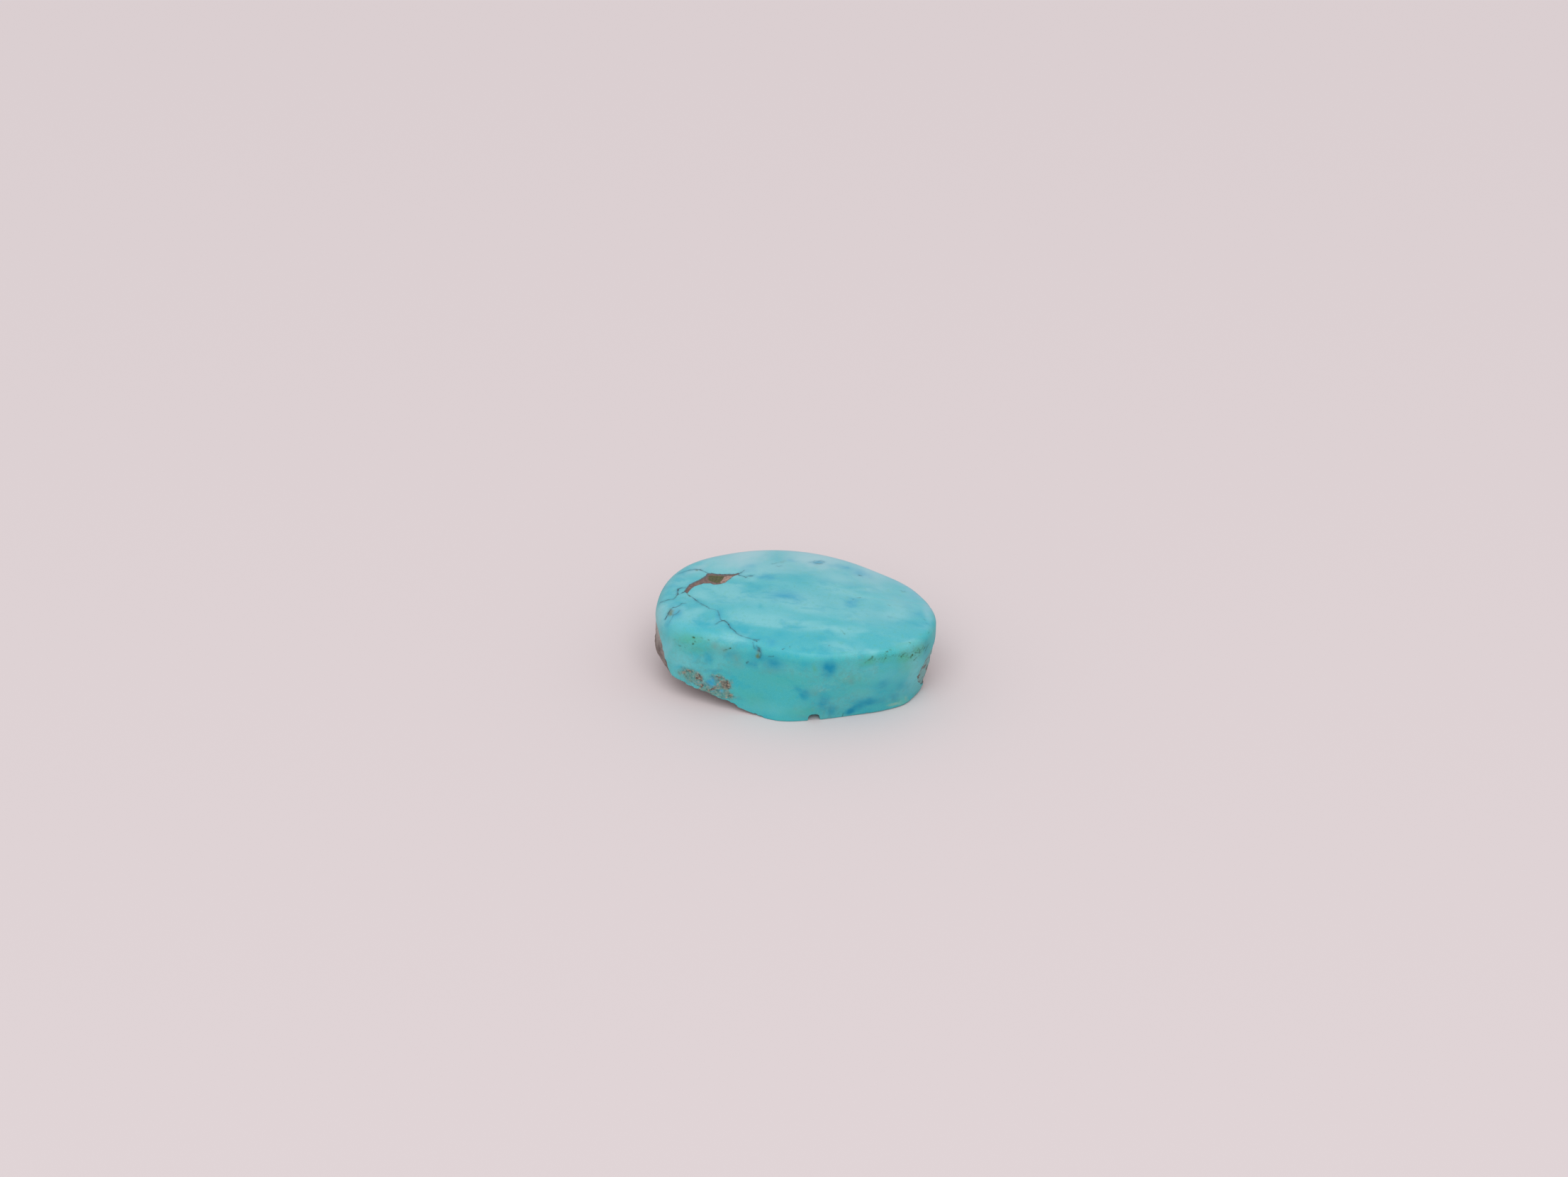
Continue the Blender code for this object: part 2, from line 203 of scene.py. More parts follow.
DARK_LINES = lines(
    # upper left, from the pit to the back edge
    (0.9, 0.7, 0.9, [(999, 808.7), (995, 807), (991.5, 805.6), (987, 804)]),
    (0.6, 0.25, 0.9, [(987, 804), (981, 803.2), (973, 804.4), (966.7, 806.4), (957, 810)]),
    # left, from the foot of the brown vein
    (0.75, 0.85, 0.9, [(967, 829.3), (960, 829.8), (956.3, 831.2)]),
    (0.85, 0.8, 1, [(956.3, 831.2), (956, 835), (956.2, 838.4)]),
    (0.8, 0.9, 0.9, [(956.2, 838.4), (953, 842.3), (950.6, 845.6)]),
    (0.9, 0.35, 0.9, [(950.6, 845.6), (946, 845.6), (942.5, 846.6), (938, 848), (931.5, 850.5)]),
    (0.9, 0.7, 1.1, [(967, 835), (963.5, 836.2), (961.3, 837.2)]),
    # the long hairline from the brown vein to the second vein
    (0.45, 0.6, 0.9, [(972.4, 840.6), (976, 842.6), (980, 845.6), (982, 847.4)]),
    (0.6, 0.5, 0.9, [(982, 847.4), (985.6, 849.8), (990.6, 852.8), (995.4, 855), (1000, 858.4)]),
    (0.35, 0.2, 0.9, [(1000, 858.4), (1006.8, 860), (1012.4, 861.8)]),
    (0.45, 0.9, [(1012.4, 861.8), (1014, 866), (1015.2, 870), (1016.6, 874), (1018.8, 875.8)]),
    (0.55, 1.3, [(981.2, 847), (982.6, 847.8)]),
    (0.55, 1.3, [(990.6, 853), (992.6, 854)]),
    # the second vein, an arc down to the rim
    (0.55, 0.95, 0.9, [(1009.5, 880.6), (1014, 877.8), (1019, 875.8), (1022, 876)]),
    (0.9, 0.65, 0.9, [(1022, 876), (1025.5, 878.6), (1028.3, 882), (1030.6, 886.6), (1033, 887.6)]),
    (0.6, 0.5, 0.9, [(1033, 887.6), (1036, 890), (1039, 893.6), (1042, 895.8), (1048, 898)]),
    (0.45, 0.75, 0.9, [(1048, 898), (1052, 899.6), (1056, 900.3), (1060, 901.6), (1063.5, 903)]),
    (0.8, 0.85, 1.1, [(1063.5, 903), (1065.5, 903.8), (1067.6, 904.8)]),
    (0.6, 0.55, 0.8, [(1064.5, 902.4), (1067.5, 903), (1070.4, 903)]),
    (0.35, 0.7, 0.9, [(1061.8, 906.4), (1062.8, 909.6), (1063.2, 912.6), (1064.6, 915)]),
    (0.7, 0.75, 1.6, [(1064.6, 914), (1066.9, 915.2), (1069.4, 917), (1071.8, 919)]),
    (0.55, 0.6, 2, [(1066.8, 912.8), (1069, 914.6), (1071.2, 916.8)]),
    (0.6, 0.4, 1.2, [(1071.8, 919), (1073.6, 921.8), (1073.2, 925), (1071.8, 928)]),
    # arcs at the left end
    (0.35, 0.65, 0.9, [(967, 851), (962, 851.4), (958.6, 854.4), (953.3, 857), (949.6, 857.4)]),
    (0.65, 0.95, 1.2, [(949.6, 857.4), (946.4, 860), (943.6, 863.6), (941.9, 866.8)]),
    (0.95, 0.8, 1.1, [(941.9, 866.8), (940.2, 870.4), (938.4, 873.8)]),
    (0.8, 1.6, [(942.2, 865.4), (942, 867.4)]),
    (0.8, 1.4, [(950, 845.2), (951.4, 844.8)]),
    (0.7, 1.3, [(942.4, 846.4), (943.6, 846.2)]),
    (0.7, 1.2, [(955.8, 838), (957, 838.6)]),
    (0.6, 0.3, 1, [(958.8, 861.6), (956, 864.6), (952.8, 867.2), (949.4, 868)]),
    (0.3, 0.55, 0.8, [(949.4, 868), (948.2, 872), (945.4, 876.4), (943.8, 879), (941.6, 881.5)]),
    # right of the pit, two forks
    (0.9, 0.45, 0.9, [(1041, 810), (1044.5, 808.6), (1047, 807.2), (1049.4, 805)]),
    (0.7, 0.9, 0.9, [(1042, 811.4), (1046, 812.6), (1049.6, 813.4), (1052.6, 814.8)]),
    (0.9, 0.6, 0.9, [(1052.6, 814.8), (1054.6, 813.2), (1058, 812.7), (1061.6, 812.7)]),
    # along the back edge
    (0.3, 0.25, 0.9, [(1089, 795.8), (1093, 795.2), (1098, 793.8)]),
    (0.25, 0.2, 0.9, [(1096, 798.8), (1099, 799.4), (1102.6, 798.2)]),
    (0.25, 0.35, 0.9, [(1142, 793.6), (1146.6, 793.2), (1149.6, 791.4), (1154, 792), (1158, 791.6)]),
    (0.3, 0.28, 0.9, [(1158, 791.6), (1163.6, 793), (1160, 794.2), (1156, 795.4), (1151, 794.8),
                      (1147, 793.2)]),
    # short dashes
    (0.4, 1.1, [(1271.6, 833.8), (1274, 835), (1276.2, 834.6)]),
    (0.5, 1, [(1210.4, 843.6), (1214, 843.5)]),
    (0.28, 1, [(1203.4, 846), (1204.4, 845.6)]),
    (0.2, 0.25, 0.8, [(1252.6, 853.6), (1255.8, 854.6)]),
    (0.5, 0.35, 1, [(1211.6, 811.8), (1213.6, 812.2), (1215.6, 812.6)]),
    (0.6, 0.9, [(1190.6, 894.2), (1191.8, 894.8)]),
    (0.12, 0.2, 0.9, [(1186.6, 888.6), (1190.4, 893.4)]),
    (0.7, 0.9, [(1169.2, 911.2), (1170.4, 910.4)]),
    (0.45, 0.9, [(1103.6, 916.4), (1106.6, 915.2)]),
    (0.35, 0.9, [(1113.2, 912.2), (1114.2, 913.4)]),
    (0.35, 0.75, 0.9, [(1084, 926.2), (1087.4, 926.6), (1091, 926.2)]),
    (0.75, 1.3, [(1053.2, 935.4), (1055.4, 934.2)]),
    (0.22, 0.9, [(1303, 873.6), (1305, 875.4)]),
    (0.22, 0.2, 0.9, [(1306.6, 879.4), (1308, 880)]),
    (0.15, 0.9, [(1251.6, 869.4), (1255, 870.4), (1258.4, 870.6)]),
    (0.15, 1, [(1120.4, 827.2), (1121.2, 828.6)]),
    (0.4, 0.65, 0.9, [(1189.4, 1006.6), (1188.4, 1010.6)]),
)
GREEN_LINES = lines(
    # the green foot of the long hairline
    (0.8, 0.55, 1, [(969.6, 837.8), (970.6, 839.6), (973.4, 841.2)]),
    # specks above the left end of the rim
    (0.9, 0.8, 1.3, [(977.4, 899.2), (979.4, 899.8)]),
    (0.6, 1.1, [(989.8, 899.8), (990.8, 901.4)]),
    (0.5, 1, [(979.8, 905.2), (981, 905.8)]),
    (0.65, 1.1, [(976.8, 909.2), (978.4, 908.2)]),
    (0.5, 1.2, [(957.4, 910.4), (959, 911.4)]),
    (0.35, 1, [(950.8, 903), (952, 902.2)]),
    (0.35, 1, [(965, 912.8), (966.4, 913.4)]),
    (0.35, 1, [(999, 902.8), (1000, 903.4)]),
    (0.45, 0.95, 1, [(1020.8, 918.2), (1024, 916.8), (1027.4, 916.2), (1030.6, 914.8)]),
    # specks and dashes along the right end of the rim
    (0.4, 0.9, 1, [(1220.4, 935.2), (1223.4, 932.6), (1226.4, 931.4)]),
    (1, 0.9, 1.4, [(1226.4, 931.4), (1229.6, 929.4), (1230.6, 926.8)]),
    (0.75, 1.1, [(1249.6, 922.6), (1250.6, 925.4)]),
    (0.7, 1, [(1251.2, 920.2), (1252.4, 919.4)]),
    (0.7, 1, [(1256, 917), (1257, 917.6)]),
    (0.5, 0.25, 1, [(1249.8, 928), (1247.6, 931), (1246.4, 934)]),
    (0.35, 1, [(1239.6, 930.8), (1241, 929.6)]),
    (0.3, 1, [(1258.8, 925.4), (1260.4, 924.2)]),
    (0.8, 0.7, 1.3, [(1273.6, 924.2), (1276.6, 921.8)]),
    (0.8, 0.6, 1.1, [(1271.4, 927), (1272.4, 925.4)]),
    (0.45, 1, [(1270, 923.4), (1271.6, 922.2)]),
    (0.85, 0.7, 1.4, [(1285, 927.8), (1286.2, 925.6), (1287.6, 924.4)]),
    (0.5, 0.75, 1.1, [(1286.4, 920.2), (1289, 918.6), (1291.6, 921.2)]),
    (0.75, 0.9, 1.2, [(1291.6, 921.2), (1296, 920.4), (1298.6, 917.4)]),
    (0.6, 0.75, 1.1, [(1302.6, 916.6), (1304.6, 913.8)]),
    (0.75, 0.6, 1.1, [(1305.6, 917.8), (1307.8, 913)]),
    (0.65, 0.45, 1.2, [(1289.4, 931.2), (1291.6, 929.8), (1293, 927.6)]),
    (0.45, 0.3, 1, [(1309.6, 909.8), (1311.6, 907)]),
    (0.5, 0.9, [(1282.6, 906.4), (1284.4, 907.4)]),
    (0.4, 0.9, [(1288, 911), (1289, 911.8)]),
    (0.4, 0.25, 0.9, [(1310.6, 892.2), (1309.4, 893.8)]),
    (0.25, 0.4, 0.9, [(1233, 932.6), (1234.6, 930)]),
    (0.25, 0.35, 0.9, [(1244, 931), (1245.4, 928.8)]),
    (0.25, 0.4, 0.9, [(1262.5, 927), (1264, 924.6)]),
    (0.35, 0.5, 0.9, [(1268, 925.6), (1269.6, 922.6)]),
    (0.4, 0.55, 1, [(1278.5, 926), (1280, 923)]),
    (0.35, 0.45, 0.9, [(1281.6, 923.6), (1282.8, 921.2)]),
    (0.55, 0.6, 1, [(1290.2, 925), (1291.4, 922.6)]),
    (0.45, 0.55, 1, [(1293.8, 918.6), (1295.4, 915.8)]),
    (0.6, 0.8, 1.1, [(1297, 921.6), (1297.8, 919), (1297.4, 916.8)]),
    (0.45, 0.55, 1, [(1299.8, 918), (1301, 914.8)]),
    (0.35, 0.45, 0.9, [(1301.6, 914.2), (1302.8, 911.4)]),
    (0.45, 0.6, 1, [(1308.2, 912.4), (1309.6, 909.2)]),
)
# Brown strokes in the patch of host rock.
BROWN_LINES = lines(
    (0.5, 0.9, 1.8, [(980, 945), (984, 949), (987, 953), (985, 957)]),
    (1, 0.9, 2.2, [(983, 957), (987, 959.6), (991, 962), (991.6, 967), (988, 971)]),
    (0.7, 0.4, 1.6, [(988, 971), (983, 971.6), (978, 969.4), (975, 965.6), (974.6, 961)]),
    (0.8, 0.6, 1.4, [(998.6, 953.4), (1000.4, 956.4), (1003.6, 957.4)]),
    (0.7, 0.8, 1.4, [(1006, 951.6), (1010, 953.4), (1014, 956), (1019, 957.6)]),
    (0.8, 0.5, 1.6, [(1019, 957.6), (1024, 957), (1028.4, 955.2)]),
    (0.7, 1, 2.4, [(1014, 959), (1017, 962), (1021, 965.4), (1026, 968.4), (1028.6, 971.4)]),
    (1, 0.8, 2.2, [(1026, 960.6), (1025, 965), (1027.6, 969.6)]),
    (0.9, 0.7, 1.8, [(1012, 967), (1008, 970.4), (1004, 973), (999, 974.6)]),
    (0.6, 0.4, 1.3, [(999, 974.6), (1001, 979), (1006, 982), (1012, 983.4)]),
    (0.5, 0.6, 1.3, [(1012, 983.4), (1018, 984.6), (1025, 984), (1031, 981), (1037, 977.6)]),
    (0.5, 1.2, [(1028, 973), (1033, 975), (1038.6, 973)]),
    (0.5, 0.4, 1.2, [(964, 949), (965.4, 950.6)]),
    (0.6, 1.3, [(971, 945.8), (974, 948)]),
    (0.5, 0.3, 1, [(957.6, 951.6), (961, 950), (964, 949.4)]),
    (0.4, 1, [(967, 958), (970, 961.6), (972.6, 966)]),
    (0.4, 1, [(1038, 968.6), (1040, 972.4)]),
    (0.5, 0.4, 1.2, [(975.6, 952), (979, 954.6), (979, 958.4)]),
)
# Closed outlines on the dome.
PIT_OUTLINE = [(965.6, 834.4), (967.8, 831), (970, 828), (973, 824.8), (978, 822.2), (983, 819.8),
               (988, 817.2), (992.4, 815), (996, 812.4), (997.6, 809.4), (1003.2, 808.8), (1010, 809.8),
               (1018.4, 810.3), (1029.6, 810.3), (1037.6, 810), (1041.4, 809), (1042, 810.4), (1037.8, 811.6),
               (1033, 813.6), (1030.4, 816), (1027, 818.8), (1022.8, 822), (1014.6, 824.2), (1007.6, 824.8),
               (1002, 823), (992.4, 823), (985, 825.4), (978, 828.2), (973.4, 832), (971.2, 835),
               (969.4, 837)]
GREEN_OUTLINE = [(998.6, 811.4), (1004, 810.6), (1012, 811.2), (1019.4, 811.8), (1019.6, 813.6), (1017, 817),
                 (1015, 820.4), (1009, 821.2), (1004, 819.8), (999, 818.6), (997, 815)]
CRYSTAL_OUTLINE = [(1020.4, 812.4), (1026, 811.8), (1032, 812), (1032, 814.6), (1028.6, 818.6), (1023, 821.8),
                   (1018, 822.6), (1014.4, 821.4), (1016.4, 818.6), (1018.4, 816)]
# A patch: centre, half-length, half-width, turn clockwise in degrees, strength. "matrix" is the host rock in
# the lower left of the front wall.
Patch = namedtuple("Patch", "x y long wide turn strength")
PATCH_ROWS = {
    "olive": [
        (1069, 925.4, 3.2, 4.4, 15, 0.9), (1069, 919.6, 3, 2, 30, 0.4), (945.8, 864.6, 2.4, 4.2, 15, 0.55),
        (982.6, 804.3, 4.4, 1.8, -5, 0.7), (1147.6, 945.4, 2.6, 3.4, 20, 0.45), (978.6, 900.6, 3, 2, 0, 0.35),
        (1065, 912, 2, 3, -20, 0.3), (1278, 926.5, 5, 2.4, -20, 0.25), (1299, 920, 8, 3, -30, 0.3)],
    "speckle": [
        (1297, 921, 14, 6, -30, 1), (1276, 926, 12, 5, -15, 0.9), (1252, 925, 9, 6, -15, 0.7),
        (1228, 932, 9, 4, -25, 0.7), (1308, 911, 4, 6, -10, 0.8), (980, 905, 12, 7, 20, 0.25),
        (955, 908, 8, 5, 20, 0.25), (1240, 934, 14, 4, -10, 0.5), (1288, 934, 8, 5, -10, 0.5)],
    "blue": [
        (1169.5, 942, 10, 10, 0, 0.95), (1168, 951, 7, 6, 0, 0.55), (1091, 936, 13, 9, 15, 0.7),
        (1075, 929, 16, 6, 12, 0.5), (1063, 936, 9, 6, 0, 0.5), (1135, 980, 6, 7, 0, 0.55),
        (1127, 974, 9, 3.5, 40, 0.35), (1162, 990, 8, 12, -10, 0.5), (1173, 1002, 7, 8, 0, 0.5),
        (1200, 1003, 7, 4, -20, 1), (1204, 999, 5, 2.2, -45, 0.6), (1228, 990.5, 18, 5, -8, 0.65),
        (1212, 996, 14, 5, -18, 0.55), (1246, 965, 12, 5, -20, 0.4), (1272, 968, 9, 6, 0, 0.35),
        (1262, 984, 6, 7, 0, 0.35), (1306, 918, 4.5, 13, 8, 0.35), (1108, 840, 20, 5.5, 6, 0.62),
        (1123, 847, 10, 5, 20, 0.3), (1092, 844, 10, 3.5, 0, 0.3), (1080, 814.5, 18, 3, 6, 0.55),
        (1057, 799, 12, 3, -12, 0.3), (1055, 805, 10, 3, 0, 0.3), (1201, 851, 7, 6, 0, 0.55),
        (1192, 801, 22, 3.5, 12, 0.4), (1213, 808, 11, 5, 20, 0.45), (1225, 813, 10, 4, 20, 0.3),
        (1155, 793.4, 8, 2.2, 0, 0.7), (1118, 791.5, 8, 2.2, 5, 0.3), (1292, 838, 8, 2.2, 32, 0.15),
        (1089, 907, 8, 5, 0, 0.55), (1014, 866, 5, 10, -8, 0.4), (1027, 924, 7, 5, 10, 0.4),
        (942, 880, 4, 13, 10, 0.28), (954, 864, 11, 7, -30, 0.45), (1011, 948, 16, 3, 6, 0.45),
        (1308, 881, 11, 4, 10, 0.28), (1294, 868, 14, 3.5, 12, 0.22), (944, 828, 12, 3, -20, 0.35),
        (1040, 986, 10, 3, 15, 0.3), (975, 822, 8, 2.6, -30, 0.4), (998, 928, 6, 9, 10, 0.3)],
    "aqua": [
        (998, 882, 20, 6, 4, 0.7), (1055, 890, 22, 7, 22, 0.8), (1100, 898, 18, 8, 0, 0.6),
        (1150, 902, 26, 6, 3, 0.45), (1125, 887, 20, 5, 0, 0.35), (1072, 855, 8, 4, 15, 0.55),
        (1238, 858, 12, 4, 5, 0.4), (962, 812, 18, 6, -32, 0.6), (949, 852, 11, 7, -20, 0.55),
        (950, 868, 9, 6, -20, 0.35), (968, 845, 12, 4, 5, 0.5), (1000, 928, 7, 10, 10, 0.5),
        (960, 943, 12, 4, 22, 0.6), (1135, 938, 8, 7, 0, 0.4), (1245, 976, 28, 12, -5, 0.45),
        (1285, 985, 8, 8, 0, 0.3), (1080, 836, 40, 10, 5, 0.25), (1205, 907, 20, 5, 5, 0.3),
        (1285, 880, 30, 6, 5, 0.35), (940, 905, 5, 20, 12, 0.3), (1125, 815, 20, 6, 10, 0.3),
        (1050, 850, 20, 6, 10, 0.3)],
    # Paler turquoise: partly the stone's own pale clouds, partly painted light at both ends of the front wall
    # and painted sheen along the back edge.
    "pale": [
        (990, 839, 18, 7, 25, 0.7), (984, 862, 18, 5, -12, 0.6), (1090, 868, 40, 7, 4, 0.45),
        (1076, 878, 13, 4, 0, 0.5), (1150, 882, 20, 5, 10, 0.5), (1178, 886, 11, 5, 20, 0.55),
        (1100, 822, 30, 5, 5, 0.3), (1180, 815, 28, 7, 14, 0.45), (1240, 845, 28, 8, 14, 0.4),
        (1228, 919, 13, 4, 0, 0.55), (1285, 851, 18, 6, 28, 0.35), (1035, 840, 20, 6, 10, 0.3),
        (1060, 798, 60, 9, 2, 0.5), (1020, 890, 12, 5, 30, 0.35), (1150, 865, 50, 8, 4, 0.25),
        (938, 912, 9, 20, 14, 0.7), (955, 932, 18, 12, 25, 0.65), (1288, 945, 14, 28, 10, 0.6),
        (1250, 955, 36, 18, -8, 0.25), (1085, 1000, 40, 9, 4, 0.25), (1220, 977, 20, 10, 0, 0.3)],
    # Painted sheen: paler patches along the back edge and the outline, standing in for light reflected off
    # the polish.
    "painted_sheen": [
        (1050, 784, 60, 7, -4, 0.85), (1150, 788, 50, 7, 8, 0.85), (1225, 810, 36, 8, 24, 0.6),
        (1280, 840, 26, 7, 36, 0.2), (980, 804, 30, 5, -25, 0.6), (1309, 868, 5, 14, -25, 0.35),
        (1100, 800, 60, 10, 2, 0.35), (925, 872, 2.4, 20, 4, 0.55), (938, 920, 6, 18, 20, 0.3),
        (1240, 870, 50, 16, 6, 0.22), (1185, 815, 55, 12, 14, 0.25), (1268, 850, 30, 12, 30, 0.28),
        (1170, 850, 60, 20, 4, 0.12)],
    "cream": [
        (1194, 958, 9, 2.6, -32, 0.4), (1178, 966, 22, 6, -20, 0.22), (1158, 974, 7, 2.6, -18, 0.4),
        (1262, 993.4, 17, 3, -13, 0.55), (1280, 985.5, 3.5, 5, 10, 0.5), (1265.5, 975, 2.2, 2.2, 0, 0.5),
        (1131, 1008, 18, 4, 0, 0.2), (1028.4, 813.4, 3, 1.4, 0, 0.3)],
    "green": [
        (972, 903, 26, 8, 4, 0.6), (985, 915, 34, 8, 4, 0.35), (1225, 934, 14, 6, -18, 0.6),
        (1250, 930, 14, 6, -5, 0.5), (1278, 929, 15, 8, -15, 0.7), (1299, 918, 13, 7, -28, 0.7),
        (1280, 942, 12, 8, 0, 0.4), (1275, 909, 18, 3, -12, 0.35), (1148, 945.4, 4, 5, 0, 0.6),
        (1218, 977, 16, 6, 0, 0.3), (1130, 1004, 30, 7, 0, 0.35), (1070, 924.4, 3.6, 2.2, -10, 1),
        (978.6, 900.4, 4, 3, 0, 0.7), (1100, 960, 50, 14, 0, 0.25), (1060, 985, 30, 12, 15, 0.3),
        (1205, 960, 30, 12, 0, 0.25), (1272, 989, 12, 5, -15, 0.4)],
    "haze": [
        (1008.6, 911.6, 5.5, 5, 0, 0.6), (1020, 916.6, 11, 4.5, 0, 0.4), (1038, 930, 7, 14, -18, 0.35),
        (1085, 948, 13, 4, 0, 0.25), (1149, 978, 9, 6, 0, 0.3), (1199.4, 962, 5, 4, 0, 0.4),
        (1197.6, 953.8, 4, 1.5, -45, 0.65), (1104, 792.6, 4, 1.4, 0, 0.45), (1070.6, 920, 4, 4, 30, 0.75),
        (1156, 796, 5, 1.6, 0, 0.3), (945.7, 864.3, 3.2, 5.4, 15, 1), (1130, 1012, 12, 2, 0, 0.2)],
    "matrix": [
        (976, 955, 18, 10, 28, 1), (1010, 958, 12, 6, 15, 0.9), (1020, 965, 14, 9, 12, 1),
        (1012, 976, 28, 8, 18, 1), (996, 972, 10, 6, 30, 0.9), (962, 949.6, 6, 2.4, 10, 0.7),
        (984, 966, 16, 4.5, 27, 0.9)],
    "matrix_brown": [
        (986, 957, 6, 4, 40, 0.55), (990, 964, 3.4, 5, -10, 0.55), (1021, 965, 8, 4.4, 20, 0.65),
        (1026, 968.4, 4, 3, 40, 0.6), (1008, 971, 5.5, 3, 15, 0.5), (983, 950, 5, 3, 50, 0.4),
        (1020, 957, 9, 2.4, 0, 0.35), (1020, 984, 12, 2.4, -5, 0.35), (965, 950, 3, 3, 0, 0.4)],
    "matrix_blue": [
        (1002, 961.4, 7, 5.5, 10, 1), (1018, 974.6, 3.4, 3, 0, 0.6), (1006, 976, 3, 2, 0, 0.4),
        (983, 963, 3, 2.4, 0, 0.3)],
}
PATCHES = {kind: [Patch(*row) for row in rows] for kind, rows in PATCH_ROWS.items()}
PATCH_THICKNESS = 0.9 * MM
PIT_RAGGED = 0.03 * MM
PIT_RAGGED_SPACING = 0.22 * MM
PIT_RIM_WIDTH = 0.042 * MM
BACK_RIM_WIDTH = 1.0 * MM
RIND_RISE = 0.12 * MM
RIND_WIDTH = 0.15 * MM
LINE_SPREAD = 0.88
LINE_CORE = 1.25             # how flat-topped a line is across
LINE_REACH = 0.6 * MM
LINE_MEAN, LINE_UNEVENNESS = 0.78, 0.85
LINE_BEADS = 0.26 * MM       # how often a line grows darker and fainter along its way
HALO_WIDTH = 0.16 * MM
HALO_REACH = 3 * HALO_WIDTH
LINE_RUFFLE = 0.016 * MM
LINE_RUFFLE_SPACING = 0.25 * MM
PATCH_WANDER = 0.20 * MM
PATCH_WANDER_SPACING = 0.6 * MM
DOME_FROM = 5 * MM
FAR_OFF = 1.0
# Bands over which a strength goes from 0 to 1.
PIT_BAND = (-0.03 * MM, 0.03 * MM)
PIT_GREEN_BAND = (-0.13 * MM, 0.11 * MM)
PIT_CRYSTAL_BAND = (-0.02 * MM, 0.03 * MM)
UNDER_HEIGHT = (0.04 * MM, 0.16 * MM)
UNDER_WITHIN = (0.05 * MM, 0.15 * MM)
BROKEN_HEIGHT = (0.02 * MM, 0.25 * MM)
# Painted light: the host rock at the left end is painted paler towards its top over these stretches.
LIT_ROCK_LEFT = (7.5 * MM, 9.5 * MM)
LIT_ROCK_HEIGHT = (3.2 * MM, 5.4 * MM)
# Where painted sheen lies along the back rim: paler colour standing in for light reflected at the grazing
# back edge.
BACK_RIM_HEIGHT = (5.0 * MM, 6.2 * MM)
BACK_RIM_BEHIND = (1.5 * MM, 4.5 * MM)
BACK_RIM_TURN = 0.2
WALL_DEPTH = 0.6 * MM        # from the wall to where the dome's colours are whole

# ---- Markings that the photograph doesn't reach: degrees round the stone, height in millimetres ---------
HIDDEN_LINES = lines(
    (0.6, 0.8, 1, [(137, 6.4), (133, 5.4), (127, 4.9), (124, 4.2)]),
    (0.5, 0.7, 1, [(100, 6.5), (97, 5.8), (99, 5), (94, 4.2), (92, 3.4)]),
    (0.5, 0.4, 0.9, [(97, 5.8), (88, 5.4), (80, 5.6), (73, 5.1)]),
    (0.7, 0.5, 1.1, [(62, 6.3), (58, 5.2), (60, 4.3), (55, 3.5)]),
    (0.5, 0.4, 0.9, [(58, 5.2), (49, 4.8), (41, 5.1), (33, 4.7)]),
    (0.6, 0.4, 0.9, [(22, 5.9), (17, 5.2), (13, 5.3), (7, 4.6)]),
    (0.5, 0.6, 0.9, [(168, 6.2), (164, 5.8), (159, 5.9), (153, 5.4)]),
)


# ---- Uneven nature ---------------------------------------------------------------------------------------
# Large odd numbers that scatter a corner's three whole numbers and its seed.
CORNER_MIX = np.array([374761393, 668265263, 974634777])
SEED_MIX = 69069
LAST_MIX = 1274126177
HALF_RANGE = 0xFFFF / 2
NOISE_SPREAD = 1.6           # brings gradient noise to about -1 to 1


def corner_value(cell, seed):
    """A repeatable number from -1 to 1 for each whole-numbered corner of space."""
    mixed = cell @ CORNER_MIX + seed * SEED_MIX
    mixed = (mixed ^ (mixed >> 13)) * LAST_MIX
    mixed = mixed ^ (mixed >> 16)
    return (mixed & 0xFFFF) / HALF_RANGE - 1


def smooth_noise(points, seed=0):
    """Gradient noise, about -1 to 1, whose features are about 1 apart."""
    cell = np.floor(points).astype(np.int64)
    inside = points - cell
    ease = inside**3 * (inside * (inside * 6 - 15) + 10)
    total = np.zeros(len(points))
    for corner in product((0, 1), repeat=3):
        at = np.array(corner)
        away = inside - at
        gradient = np.stack([corner_value(cell + at, 3 * seed + axis) for axis in range(3)], axis=1)
        weight = np.prod(np.where(at == 1, ease, 1 - ease), axis=1)
        total += weight * (gradient * away).sum(axis=1)
    return NOISE_SPREAD * total


def noise_steps(points, spacing, seed):
    """Smooth noise along each of the three axes."""
    return np.stack([smooth_noise(points / spacing, seed=seed + axis) for axis in range(3)], axis=1)


def broken_lumps(points):
    """Uneven height of broken stone, about -1 to 1."""
    broad = smooth_noise(points / ROCK_LUMP_SPACING, seed=1)
    fine = smooth_noise(points * (FINER_LUMPS / ROCK_LUMP_SPACING), seed=2)
    return broad + FINER_LUMPS_SHARE * fine


def broken_grain(points):
    """Fine unevenness of broken stone, with sharp ridges, about -1 to 1."""
    grain = 1 - RIDGE_SLOPE * np.abs(smooth_noise(points / ROCK_GRAIN_SPACING, seed=4))
    finer = 1 - RIDGE_SLOPE * np.abs(smooth_noise(points * (FINER_LUMPS / ROCK_GRAIN_SPACING), seed=5))
    return grain + FINER_GRAIN_SHARE * finer


def smooth_step(values, low, high):
    """0 below low, 1 above high and an even slope between."""
    share = np.clip((values - low) / (high - low), 0, 1)
    return share * share * (3 - 2 * share)


